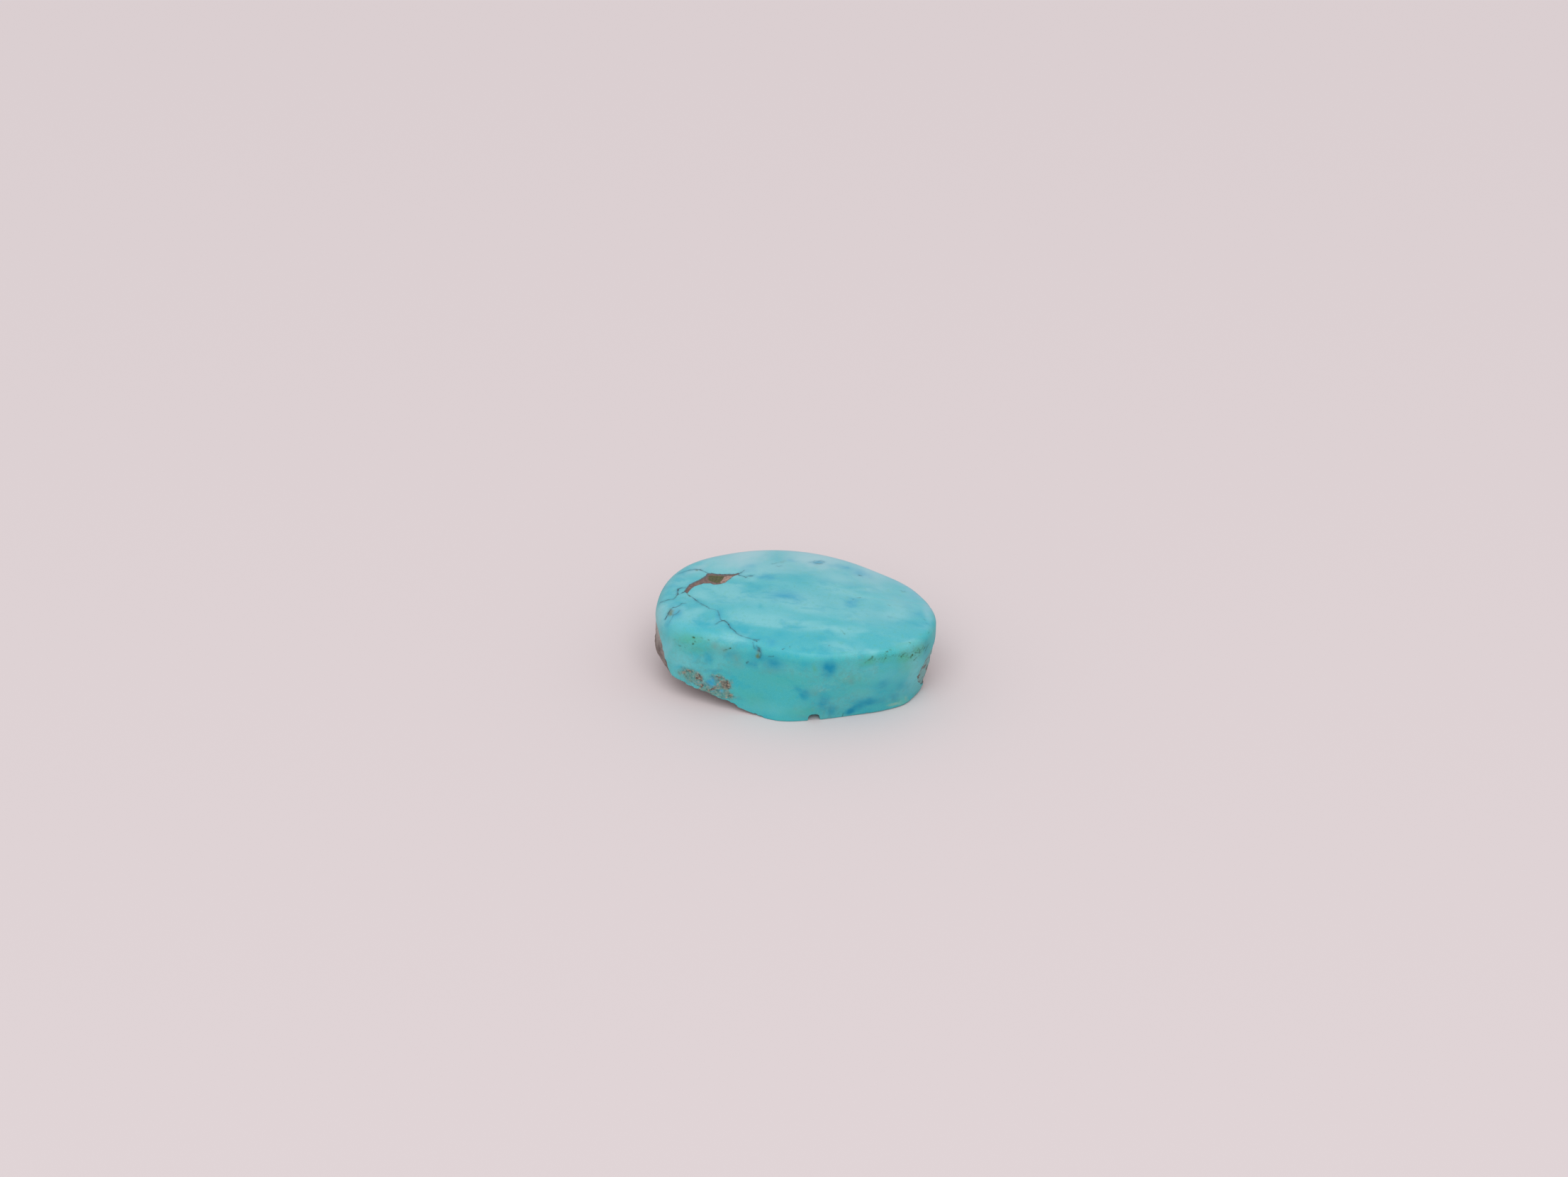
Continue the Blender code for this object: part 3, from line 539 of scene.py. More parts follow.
# ---- The stone's form ------------------------------------------------------------------------------------
def round_the_stone(values, angle):
    """A smooth closed curve through values that are evenly spaced round the stone."""
    count = len(values)
    place = (angle % (2 * pi)) / (2 * pi) * count
    start = np.floor(place).astype(int)
    t = place - start
    before, here, after, beyond = (values[(start + k) % count] for k in (-1, 0, 1, 2))
    slope_in = (after - before) / 2
    slope_out = (beyond - here) / 2
    bend = 3 * (after - here) - 2 * slope_in - slope_out
    twist = 2 * (here - after) + slope_in + slope_out
    return here + slope_in * t + bend * t**2 + twist * t**3


def rounded_corner(a, b, radius):
    """Distance to the solid inside both a and b, with a round of the given radius where they meet."""
    over_a = np.maximum(a + radius, 0)
    over_b = np.maximum(b + radius, 0)
    return np.minimum(np.maximum(a, b), -radius) + np.hypot(over_a, over_b)


def wall_radius(angle, height):
    """Plan radius of the ground edge at a height, leaning in towards the base."""
    drop = np.clip(1 - height / round_the_stone(RIM_HEIGHT, angle), 0, LOWEST_DROP)
    lean = round_the_stone(WALL_LEAN, angle) * drop**round_the_stone(WALL_BOW, angle)
    inset = round_the_stone(RIM_INSET, angle) * np.clip(1 - INSET_FADE * drop, 0, 1)
    corner = np.exp(-((angle - CORNER_ANGLE) / CORNER_SPREAD)**2 - (height / CORNER_HEIGHT)**2)
    return round_the_stone(RIM_RADIUS, angle) - lean - inset + CORNER_OUT * corner


def within_wall(points):
    """How far inside the wall each point is, in plan."""
    x, y, z = points.T
    return wall_radius(np.arctan2(y, x), z) - np.hypot(x, y)


def dome_height(share, rim):
    """Height of the dome at a share of the way from its middle to the rim."""
    return DOME_HEIGHT - (DOME_HEIGHT - rim) * share**DOME_POWER


def underside_axes():
    """The underside's own axes as columns: downhill, across and up from the break."""
    return np.array(Euler((0.0, UNDERSIDE_RISE, UNDERSIDE_TURN)).to_matrix())


def notch_gap(points):
    """Distance outside the drill hole that the saw has halved."""
    out = np.array([cos(NOTCH_ANGLE), sin(NOTCH_ANGLE), 0.0])
    side = np.array([-sin(NOTCH_ANGLE), cos(NOTCH_ANGLE), 0.0])
    away = points - NOTCH_MOUTH
    across = np.abs(away @ side)**NOTCH_SQUARENESS + np.abs(away[:, 2])**NOTCH_SQUARENESS
    return np.maximum(across**(1 / NOTCH_SQUARENESS) - NOTCH_RADIUS, -(away @ out) - NOTCH_DEPTH)


def outside(points, swell=0.0, lumps=0.0, edge=BASE_EDGE_ROUND):
    """Negative inside the stone, zero on its skin. The skin swells outwards; lumps raise the underside."""
    x, y, z = points.T
    angle = np.arctan2(y, x)
    radius = np.hypot(x, y)
    share = np.clip(radius / round_the_stone(RIM_RADIUS, angle), 0, WIDEST_SHARE)
    dome = z - dome_height(share, round_the_stone(RIM_HEIGHT, angle)) - swell
    wall = radius - wall_radius(angle, z) - swell
    crown = rounded_corner(wall, dome, round_the_stone(RIM_ROUNDING, angle))
    broken = (points - UNDERSIDE_HINGE) @ underside_axes()
    under = np.maximum(-z, np.minimum(-broken[:, 0], lumps - broken[:, 2]))
    return rounded_corner(rounded_corner(crown, under, edge), -notch_gap(points), NOTCH_LIP)


def floor_height(x, y):
    """Height of the base, or of the underside where it has broken away, without its lumps."""
    up = underside_axes()[:, 2]
    hinge = UNDERSIDE_HINGE
    return np.maximum(0, hinge[2] - (up[0] * (x - hinge[0]) + up[1] * (y - hinge[1])) / up[2])


def crossing(place, ways, inner, outer, *form):
    """Where lines from a place cross the skin, by halving the stretch from inside it to outside."""
    for _ in range(BISECTIONS):
        middle = (inner + outer) / 2
        within = outside(place + ways * middle[:, None], *form) < 0
        inner = np.where(within, middle, inner)
        outer = np.where(within, outer, middle)
    return place + ways * inner[:, None]


def skin(ways, *form):
    """Where lines from the core reach the skin."""
    return crossing(CORE, ways, np.zeros(len(ways)), np.full(len(ways), REACH), *form)


def ways_to(points):
    """Unit directions from the core to points."""
    ways = points - CORE
    return ways / np.linalg.norm(ways, axis=1)[:, None]


def liveliness(points):
    """Share of its unevenness that the host rock has: little in front, all of it at the back."""
    return CALM_ROCK + (1 - CALM_ROCK) * smooth_step(points[:, 1], *LIVELY_BEHIND)


def above_rock(points):
    """Height over the line where the host rock ends and the polish begins."""
    wander = sum(smooth_noise(points * finer / ROCK_WANDER_SPACING, seed=3) / finer**ROCK_WANDER_FALL
                 for finer in ROCK_WANDER_STEPS)
    height = round_the_stone(ROCK_HEIGHT, np.arctan2(points[:, 1], points[:, 0]))
    return points[:, 2] - height - ROCK_WANDER * liveliness(points) * wander


def rock_share(points):
    """1 on host rock, 0 on polished turquoise."""
    x, y, _ = points.T
    front_right = smooth_step(-y, *ROCK_FREE) * (x > 0)
    return np.clip(-above_rock(points) / ROCK_EDGE, 0, 1) * (1 - front_right)


def right_break(points):
    """1 on the rough break at the right end of the stone, 0 elsewhere."""
    x, y, z = points.T
    angle = np.arctan2(y, x)
    past = angle - np.interp(z, BREAK_HEIGHTS, BREAK_STARTS)
    depth = past * np.hypot(x, y) + BREAK_RAGGED * smooth_noise(points / BREAK_RAGGED_SPACING, seed=7)
    fading = 1 - smooth_step(angle, 0.0, BREAK_END)
    return smooth_step(depth, *BREAK_BAND) * fading * (x > 0)


# ---- From the photograph's pixels to the stone -----------------------------------------------------------
def camera_axes():
    """Right, up and back of the camera."""
    turn, rise = CAMERA_AZIMUTH, CAMERA_ELEVATION
    right = np.array([cos(turn), sin(turn), 0.0])
    up = np.array([-sin(turn) * sin(rise), cos(turn) * sin(rise), cos(rise)])
    back = np.array([sin(turn) * cos(rise), -cos(turn) * cos(rise), sin(rise)])
    return right, up, back


def camera_place():
    """The camera's place in the outline's own axes, slid sideways so that the stone falls where it should."""
    right, up, back = camera_axes()
    across = (PHOTO_WIDTH / 2 - ORIGIN_PIXEL[0]) / PIXELS_PER_METRE
    rise = (ORIGIN_PIXEL[1] - PHOTO_HEIGHT / 2) / PIXELS_PER_METRE
    return back * CAMERA_DISTANCE + right * across + up * rise


def under_pixels(pixels):
    """The stone's points under pixels of the photograph."""
    right, up, back = camera_axes()
    pixels = np.array(pixels, float)
    focal = PIXELS_PER_METRE * CAMERA_DISTANCE
    across = (pixels[:, 0] - PHOTO_WIDTH / 2) / focal
    rise = (PHOTO_HEIGHT / 2 - pixels[:, 1]) / focal
    rays = across[:, None] * right + rise[:, None] * up - back
    place = camera_place()
    entry = np.full(len(pixels), CAMERA_DISTANCE + REACH)
    for distance in np.arange(CAMERA_DISTANCE + REACH, CAMERA_DISTANCE - REACH, -SEARCH_STEP):
        entry = np.where(outside(place + rays * distance) < 0, distance, entry)
    return crossing(place, rays, entry, entry - SEARCH_STEP)


def under_paths(paths):
    """The stone's points under several lists of pixels, as a list of arrays."""
    ends = np.cumsum([len(path) for path in paths])[:-1]
    return np.split(under_pixels(sum(paths, [])), ends)


def on_wall(places):
    """Points of the wall at angles in degrees and heights in millimetres."""
    angle = np.radians([place[0] for place in places])
    height = MM * np.array([place[1] for place in places])
    radius = wall_radius(angle, height)
    return skin(ways_to(np.stack([radius * np.cos(angle), radius * np.sin(angle), height], axis=1)))


# ---- Measuring markings on the stone's points ------------------------------------------------------------
def nearest_on_path(points, path):
    """Distance from each point to a path, and the share of its legs passed where it is nearest."""
    best = np.full(len(points), np.inf)
    share = np.zeros(len(points))
    legs = len(path) - 1
    for leg in range(legs):
        step = path[leg + 1] - path[leg]
        part = np.clip((points - path[leg]) @ step / (step @ step), 0, 1)
        away = np.linalg.norm(points - path[leg] - part[:, None] * step, axis=1)
        share = np.where(away < best, (leg + part) / legs, share)
        best = np.minimum(best, away)
    return best, share


def near_path(points, path, margin):
    """True for every point that may be within a margin of a path."""
    centre = path.mean(axis=0)
    return np.abs(points - centre).max(axis=1) < np.abs(path - centre).max() + margin


def line_mask(points, marked, paths):
    """How dark lines make each point, 0 to 1."""
    ruffled = points + LINE_RUFFLE * noise_steps(points, LINE_RUFFLE_SPACING, 20)
    uneven = LINE_MEAN + LINE_UNEVENNESS * smooth_noise(points / LINE_BEADS, seed=25)
    mask = np.zeros(len(points))
    for line, path in zip(marked, paths):
        close = near_path(points, path, LINE_REACH)
        away, share = nearest_on_path(ruffled[close], path)
        width = LINE_SPREAD * line.half_width / PIXELS_PER_METRE
        strength = line.first + (line.last - line.first) * share
        core = np.minimum(LINE_CORE * np.exp(-(away / width)**2), 1)
        mask[close] = np.maximum(mask[close], strength * uneven[close] * core)
    return np.clip(mask, 0, 1)


def halo_mask(points, paths, weights):
    """How near each point is to any of the paths, 0 to 1, over a wider stretch than the line itself."""
    mask = np.zeros(len(points))
    for path, weight in zip(paths, weights):
        close = near_path(points, path, HALO_REACH)
        away, _ = nearest_on_path(points[close], path)
        mask[close] = np.maximum(mask[close], weight * np.exp(-(away / HALO_WIDTH)**2))
    return mask


def signed_distance(points, outline):
    """Distance outside a closed outline on the dome in plan, negative inside it, far off below the dome."""
    flat = points[:, :2]
    closed = np.vstack([outline[:, :2], outline[:1, :2]])
    away, _ = nearest_on_path(flat, closed)
    inside = np.zeros(len(flat), bool)
    for start, end in zip(closed[:-1], closed[1:]):
        straddles = (start[1] > flat[:, 1]) != (end[1] > flat[:, 1])
        rise = end[1] - start[1] if end[1] != start[1] else 1.0
        edge_x = start[0] + (flat[:, 1] - start[1]) * (end[0] - start[0]) / rise
        inside ^= straddles & (flat[:, 0] < edge_x)
    away = np.where(inside, -away, away)
    return np.where(points[:, 2] > DOME_FROM, away, FAR_OFF)


def patch_ends(patch):
    """Pixels of a patch's centre and of the ends of its two axes."""
    turn = radians(patch.turn)
    along = patch.long * cos(turn), patch.long * sin(turn)
    over = -patch.wide * sin(turn), patch.wide * cos(turn)
    steps = [(0, 0), (-along[0], -along[1]), along, (-over[0], -over[1]), over]
    return [(patch.x + across, patch.y + down) for across, down in steps]


def patch_grids(patches):
    """For each patch its centre on the stone and the matrix that turns distances into shares of its axes."""
    grids = []
    for centre, left, right, top, bottom in under_paths([patch_ends(patch) for patch in patches]):
        long_axis, wide_axis = (right - left) / 2, (bottom - top) / 2
        out = np.cross(long_axis, wide_axis)
        axes = np.stack([long_axis, wide_axis, PATCH_THICKNESS * out / np.linalg.norm(out)], axis=1)
        grids.append((centre, np.linalg.inv(axes).T))
    return grids


def patch_mask(points, patches, grids):
    """How far each point is in soft-edged patches, 0 to 1."""
    mask = np.zeros(len(points))
    for patch, (centre, to_shares) in zip(patches, grids):
        shares = (points - centre) @ to_shares
        mask = np.maximum(mask, patch.strength * np.exp(-(shares**2).sum(axis=1)))
    return mask


class Markings:
    """Every marking's place on the stone, worked out once, and its strength at given points."""

    def __init__(self):
        self.dark_paths, self.green_paths, self.brown_paths = (
            under_paths([line.path for line in marked]) for marked in (DARK_LINES, GREEN_LINES, BROWN_LINES))
        self.hidden_paths = [on_wall(line.path) for line in HIDDEN_LINES]
        self.pit, self.green, self.crystal = under_paths([PIT_OUTLINE, GREEN_OUTLINE, CRYSTAL_OUTLINE])
        self.grids = {kind: patch_grids(patches) for kind, patches in PATCHES.items()}

    def lines(self, points):
        dark = line_mask(points, DARK_LINES + HIDDEN_LINES, self.dark_paths + self.hidden_paths)
        return dark, line_mask(points, GREEN_LINES, self.green_paths)

    def patches(self, kind, points):
        """How far points are in a kind of patch, whose edges wander."""
        wandered = points + PATCH_WANDER * noise_steps(points, PATCH_WANDER_SPACING, 30)
        return patch_mask(wandered, PATCHES[kind], self.grids[kind])

    def pit_edge(self, points):
        """Distance outside the ragged edge of the brown vein and the pit."""
        ragged = PIT_RAGGED * smooth_noise(points / PIT_RAGGED_SPACING, seed=26)
        return signed_distance(points, self.pit) + ragged

    def cell_wanted(self, points):
        """Size of mesh cell that each point needs."""
        x, y, z = points.T
        within = within_wall(points)
        rocky = (rock_share(points) > LEAST_ROCK) & (within < ROCK_SEEN) | (right_break(points) > LEAST_BREAK)
        at_base_edge = (np.abs(z - floor_height(x, y)) < EDGE_REACH) & (within < EDGE_REACH)
        in_matrix = self.patches("matrix", points) > LEAST_MATRIX
        edged = at_base_edge | (notch_gap(points) < NOTCH_REACH) | in_matrix
        paths = self.dark_paths + self.green_paths + self.hidden_paths
        beside_line = halo_mask(points, paths, [1.0] * len(paths)) > BESIDE_LINE
        wanted = np.where(rocky, ROCK_CELL, CELL)
        wanted = np.where(edged, EDGE_CELL, wanted)
        wanted = np.where(self.pit_edge(points) < BESIDE_PIT, FINE_CELL, wanted)
        return np.where(beside_line, LINE_CELL, wanted)


# ---- The fine mesh ---------------------------------------------------------------------------------------
def box_of_grids():
    """A cube of side 2 whose faces are grids."""
    long_cells = round(2 * RIM_RADIUS[0] / CELL)
    deep_cells = round(2 * RIM_RADIUS[4] / CELL)
    high_cells = round(RIM_HEIGHT[0] / CELL)
    quarter = pi / 2
    sides = [  # top, bottom, front, back, right and left
        (Matrix.Identity(4), long_cells, deep_cells),
        (Matrix.Rotation(pi, 4, "X"), long_cells, deep_cells),
        (Matrix.Rotation(quarter, 4, "X"), long_cells, high_cells),
        (Matrix.Rotation(-quarter, 4, "X"), long_cells, high_cells),
        (Matrix.Rotation(quarter, 4, "Y"), high_cells, deep_cells),
        (Matrix.Rotation(-quarter, 4, "Y"), high_cells, deep_cells),
    ]
    bm = bmesh.new()
    for turn, across, deep in sides:
        lifted = turn @ Matrix.Translation((0.0, 0.0, 1.0))
        bmesh.ops.create_grid(bm, x_segments=across, y_segments=deep, size=1.0, matrix=lifted)
    bmesh.ops.remove_doubles(bm, verts=bm.verts[:], dist=CUBE_SEAM)
    return bm


def guide_points(box):
    """Where points of the cube belong on the sharp-cornered stone: its sides on the wall, its ends within."""
    a, b, c = box.T
    across = a * np.sqrt(1 - b * b / 2)
    deep = b * np.sqrt(1 - a * a / 2)
    share = np.minimum(np.hypot(across, deep), 1.0)
    angle = np.arctan2(deep * RIM_RADIUS[4], across * RIM_RADIUS[0])
    rim = round_the_stone(RIM_HEIGHT, angle)
    foot = np.zeros(len(box))
    for _ in range(FOOT_ROUNDS):
        radius = wall_radius(angle, foot)
        foot = floor_height(radius * np.cos(angle), radius * np.sin(angle))
    height = foot + (rim - foot) * (c + 1) / 2
    radius = share * wall_radius(angle, height)
    x, y = radius * np.cos(angle), radius * np.sin(angle)
    height = np.where(c > 1 - ON_END, dome_height(share, rim), height)
    height = np.where(c < -1 + ON_END, floor_height(x, y), height)
    return np.stack([x, y, height], axis=1)


def coordinates(bm):
    """Every corner's place, one row each."""
    return np.array([vert.co for vert in bm.verts])


def place_verts(bm, points):
    for vert, place in zip(bm.verts, points):
        vert.co = place


def make_triangles(bm):
    bmesh.ops.triangulate(bm, faces=[face for face in bm.faces if len(face.verts) > 3])


def drop_doubled_faces(bm):
    """Takes out pairs of faces that lie on the same corners."""
    on_corners = {}
    for face in bm.faces:
        on_corners.setdefault(frozenset(face.verts), []).append(face)
    doubled = [face for faces in on_corners.values() if len(faces) > 1 for face in faces]
    bmesh.ops.delete(bm, geom=doubled, context="FACES")


def refine(bm, markings):
    """Splits edges that are longer than the markings and the form need there, and keeps the mesh closed."""
    for _ in range(REFINEMENTS):
        points = coordinates(bm)
        bm.verts.index_update()
        ends = np.array([(edge.verts[0].index, edge.verts[1].index) for edge in bm.edges])
        start, end = points[ends[:, 0]], points[ends[:, 1]]
        wanted = markings.cell_wanted((start + end) / 2)
        split = np.linalg.norm(end - start, axis=1) > LONGEST_EDGE * wanted
        chosen = [edge for edge, cut in zip(bm.edges, split) if cut]
        bmesh.ops.subdivide_edges(bm, edges=chosen, cuts=1)
        make_triangles(bm)
        place_verts(bm, skin(ways_to(coordinates(bm))))
        bmesh.ops.remove_doubles(bm, verts=bm.verts[:], dist=SAME_PLACE)
        bmesh.ops.dissolve_degenerate(bm, edges=bm.edges[:], dist=SLIVER)
        make_triangles(bm)
        drop_doubled_faces(bm)


def relief(points, markings):
    """Height of the finer form over the smooth skin."""
    lively = liveliness(points)
    grain = ROCK_GRAIN * broken_grain(points)
    lumps = lively * (ROCK_LUMP * broken_lumps(points) - ROCK_SINK)
    height = rock_share(points) * (lumps + (FRONT_GRAIN + BACK_GRAIN * lively) * grain)
    height -= right_break(points) * (BREAK_DEPTH + BREAK_GRAIN * grain)
    dark, green = markings.lines(points)
    height -= HAIRLINE_DEPTH * np.maximum(dark, GREEN_LINE_DEPTH * green)
    pit = smooth_step(-markings.pit_edge(points), -PIT_LIP * PIT_SIDE, PIT_SIDE)
    from_centre = np.linalg.norm((points - PIT_CENTRE)[:, :2], axis=1)
    deep = np.exp(-(from_centre / PIT_REACH)**PIT_FLATNESS)
    crystal = smooth_step(-signed_distance(points, markings.crystal), *CRYSTAL_SIDE)
    mineral = smooth_noise(points / MINERAL_SPACING, seed=27)
    facets = np.abs(smooth_noise(points / FACET_SPACING, seed=28))
    floor = VEIN_DEPTH + PIT_DEPTH * deep - crystal * (CRYSTAL_RISE - FACET_DEPTH * facets)
    height -= pit * (floor + MINERAL_DEPTH * mineral)
    matrix = smooth_step(markings.patches("matrix", points), *HOLLOW_BAND)
    hollows = np.maximum(smooth_noise(points / HOLLOW_SPACING, seed=29) + HOLLOW_LEVEL, 0)
    return height - matrix * MATRIX_DEPTH * hollows


def stone_mesh(markings):
    """The finished mesh in the outline's own axes, and the smooth skin point of each of its vertices."""
    bm = box_of_grids()
    place_verts(bm, skin(ways_to(guide_points(coordinates(bm)))))
    make_triangles(bm)
    refine(bm, markings)
    smooth = coordinates(bm)
    broken = (smooth - UNDERSIDE_HINGE) @ underside_axes()
    on_break = np.stack([broken[:, 0], broken[:, 1], np.zeros(len(smooth))], axis=1)
    lumps = UNDERSIDE_LUMP * broken_lumps(on_break) + ROCK_GRAIN * broken_grain(smooth)
    chips = smooth_noise(smooth / CHIP_SPACING, seed=6) - CHIP_THRESHOLD
    worn = RIGHT_EDGE_ROUND * smooth_step(smooth[:, 0], *WORN_RIGHT)
    crumbled = LEFT_EDGE_ROUND * smooth_step(-smooth[:, 0], *CRUMBLED_LEFT)
    edge = np.maximum(BASE_EDGE_ROUND, np.maximum(worn, crumbled)) + CHIP_SIZE * np.clip(chips, 0, 1)
    place_verts(bm, skin(ways_to(smooth), relief(smooth, markings), lumps, edge))
    bm.normal_update()
    return bm, smooth


# ---- Strengths that the material reads -------------------------------------------------------------------
def strengths(points, markings):
    """Named values from 0 to 1 at each point."""
    x, y, z = points.T
    dark, green_lines = markings.lines(points)
    broken_end = right_break(points)
    pit = markings.pit_edge(points)
    floor = floor_height(x, y)
    within = within_wall(points)
    under = (1 - smooth_step(z - floor, *UNDER_HEIGHT)) * smooth_step(within, *UNDER_WITHIN)
    behind = smooth_step(y + BACK_RIM_TURN * x, *BACK_RIM_BEHIND)
    halo_weights = [line.first if len(line.path) > 2 else 0 for line in DARK_LINES]
    named = {kind: markings.patches(kind, points) for kind in PATCHES}
    return named | {
        "dark_line": dark,
        "green_line": green_lines,
        "brown_line": line_mask(points, BROWN_LINES, markings.brown_paths),
        "halo": halo_mask(points, markings.dark_paths, halo_weights),
        "pit": smooth_step(-pit, *PIT_BAND),
        "pit_rim": np.exp(-(pit / PIT_RIM_WIDTH)**2),
        "pit_green": smooth_step(-signed_distance(points, markings.green), *PIT_GREEN_BAND),
        "pit_crystal": smooth_step(-signed_distance(points, markings.crystal), *PIT_CRYSTAL_BAND),
        "rock": np.maximum(rock_share(points), broken_end),
        "rind": np.exp(-((above_rock(points) - RIND_RISE) / RIND_WIDTH)**2),
        "right_end": broken_end,
        # painted light, paler towards the top of the left end's rock
        "lit_rock_top": smooth_step(-x, *LIT_ROCK_LEFT) * smooth_step(z, *LIT_ROCK_HEIGHT),
        "under": under,
        "broken": under * smooth_step(floor, *BROKEN_HEIGHT),
        # painted sheen along the back rim
        "back_rim_sheen": np.exp(-(within / BACK_RIM_WIDTH)**2) * smooth_step(z, *BACK_RIM_HEIGHT) * behind,
        "wall": smooth_step(1 - within / WALL_DEPTH, 0, 1),
    }


def write_strengths(mesh, values):
    """Keeps the strengths in the mesh, where the material's nodes read them."""
    for name, value in values.items():
        layer = mesh.attributes.new(name, "FLOAT", "POINT")
        layer.data.foreach_set("value", value.astype(np.float32))


# ---- Material --------------------------------------------------------------------------------------------
def colour(red, green, blue):
    """Linear colour from display values of 0 to 255."""
    share = np.array([red, green, blue]) / 255
    linear = np.where(share <= 0.04045, share / 12.92, ((share + 0.055) / 1.055)**2.4)
    return (*(float(value) for value in linear), 1.0)


TURQUOISE = colour(66, 180, 191)
TURQUOISE_WALL = colour(62, 177, 182)
TURQUOISE_DEEP = colour(22, 166, 186)
TURQUOISE_PALE = colour(120, 198, 205)
# Colour of the painted sheen along the back edge and outline.
TURQUOISE_SHEEN = colour(158, 200, 208)
# Colour of the painted sheen along the back rim.
RIM_SHEEN = colour(156, 194, 211)
TURQUOISE_BLUE = colour(0, 138, 170)
TURQUOISE_CLEAR = colour(18, 152, 188)
TURQUOISE_GREEN = colour(76, 172, 146)
CREAM = colour(132, 180, 164)
HAZE = colour(104, 138, 132)
OLIVE = colour(92, 120, 84)
GRIME = colour(88, 156, 146)
SPECKLE = colour(48, 92, 56)
LINE_DARK = colour(34, 52, 56)
LINE_GREEN = colour(40, 84, 50)
LINE_HALO = colour(28, 136, 160)
VEIN_BROWN = colour(124, 102, 94)
VEIN_DARK = colour(98, 80, 76)
VEIN_RIM = colour(54, 52, 62)
PIT_GREEN = colour(86, 94, 46)
PIT_GREEN_DARK = colour(58, 58, 36)
CRYSTAL_PINK = colour(164, 138, 126)
CRYSTAL_BROWN = colour(122, 98, 88)
MATRIX_GREY = colour(100, 138, 128)
MATRIX_BROWN = colour(88, 62, 52)
MATRIX_TAN = colour(122, 104, 90)
MATRIX_CREAM = colour(176, 166, 146)
MATRIX_DARK = colour(66, 84, 76)
MATRIX_BLUE = colour(52, 156, 192)
ROCK_GREY = colour(136, 126, 121)
ROCK_DARK = colour(100, 88, 84)
ROCK_PALE = colour(170, 162, 152)
ROCK_OCHRE = colour(136, 108, 76)
ROCK_RED = colour(94, 72, 64)
BREAK_EDGE = colour(58, 84, 92)
ROCK_TEAL = colour(122, 172, 172)
# Colour of the painted light on the top of the left end's rock.
ROCK_LIT_TOP = colour(172, 170, 166)
RIND = colour(140, 178, 166)
SAWN = colour(110, 190, 190)
FLOOR_COLOUR = colour(216, 208, 209)
WORLD_COLOUR = colour(252, 245, 247)
WORLD_STRENGTH = 0.70
LIGHT_PLACE = (0.15, -0.95, 1.25)
LIGHT_SIZE = 1.4
LIGHT_POWER = 15.0
FLOOR_HALF = 2.0
TURQUOISE_IOR = 1.61
BUMP_DEPTH = 0.05 * MM


class Paint:
    """Adds nodes to a material's tree, one short call for each."""

    def __init__(self, material):
        material.use_nodes = True
        self.tree = material.node_tree
        self.shader = self.tree.nodes["Principled BSDF"]
        self.place = self.node("TexCoord").outputs["Object"]

    def feed(self, node, values):
        """Puts numbers, colours or other nodes' outputs on a node's inputs."""
        for name, value in values.items():
            if isinstance(value, bpy.types.NodeSocket):
                self.tree.links.new(value, node.inputs[name])
            else:
                node.inputs[name].default_value = value

    def node(self, kind, values=None, **settings):
        made = self.tree.nodes.new("ShaderNode" + kind)
        for name, value in settings.items():
            setattr(made, name, value)
        self.feed(made, values or {})
        return made

    def strength(self, name):
        """One of the stone's named values."""
        return self.node("Attribute", attribute_name=name).outputs["Fac"]

    def noise(self, spacing, detail=2.0, roughness=0.5, distortion=0.0, stretch=None):
        """Cloudy values about 0.5, with features so many metres apart."""
        place = self.place
        if stretch is not None:
            turned = {"Vector": place, "Rotation": stretch[0], "Scale": stretch[1]}
            place = self.node("Mapping", turned).outputs["Vector"]
        values = {"Vector": place, "Scale": 1 / spacing, "Detail": detail, "Roughness": roughness,
                  "Distortion": distortion}
        return self.node("TexNoise", values).outputs["Fac"]

    def maths(self, operation, first, second):
        return self.node("Math", {0: first, 1: second}, operation=operation).outputs["Value"]

    def times(self, first, second):
        return self.maths("MULTIPLY", first, second)

    def uneven(self, noise, amount):
        """Noise moved to lie about 0, times an amount."""
        return self.times(self.maths("SUBTRACT", noise, 0.5), amount)

    def between(self, value, low, high, bottom=0.0, top=1.0):
        """Smoothly from bottom to top as a value goes from low to high."""
        values = {"Value": value, "From Min": low, "From Max": high, "To Min": bottom, "To Max": top}
        return self.node("MapRange", values, interpolation_type="SMOOTHSTEP").outputs["Result"]

    def mix(self, share, first, second):
        """A colour between two."""
        return self.node("Mix", {0: share, 6: first, 7: second}, data_type="RGBA").outputs[2]

    def blend(self, share, first, second):
        """A number between two."""
        return self.node("Mix", {0: share, 2: first, 3: second}, data_type="FLOAT").outputs[0]

    def coats(self, made, *coats):
        """A colour with others laid over it, each by its own share."""
        for share, over in coats:
            made = self.mix(share, made, over)
        return made

    def ragged(self, name, noise, low, high, amount):
        """A named value with its edge broken up by noise."""
        return self.between(self.maths("ADD", self.strength(name), self.uneven(noise, amount)), low, high)

    def cloudy(self, name, noise, least=0.55, most=1.25):
        """A named value that noise thins out and thickens, with soft edges."""
        return self.times(self.strength(name), self.between(noise, 0.35, 0.65, least, most))


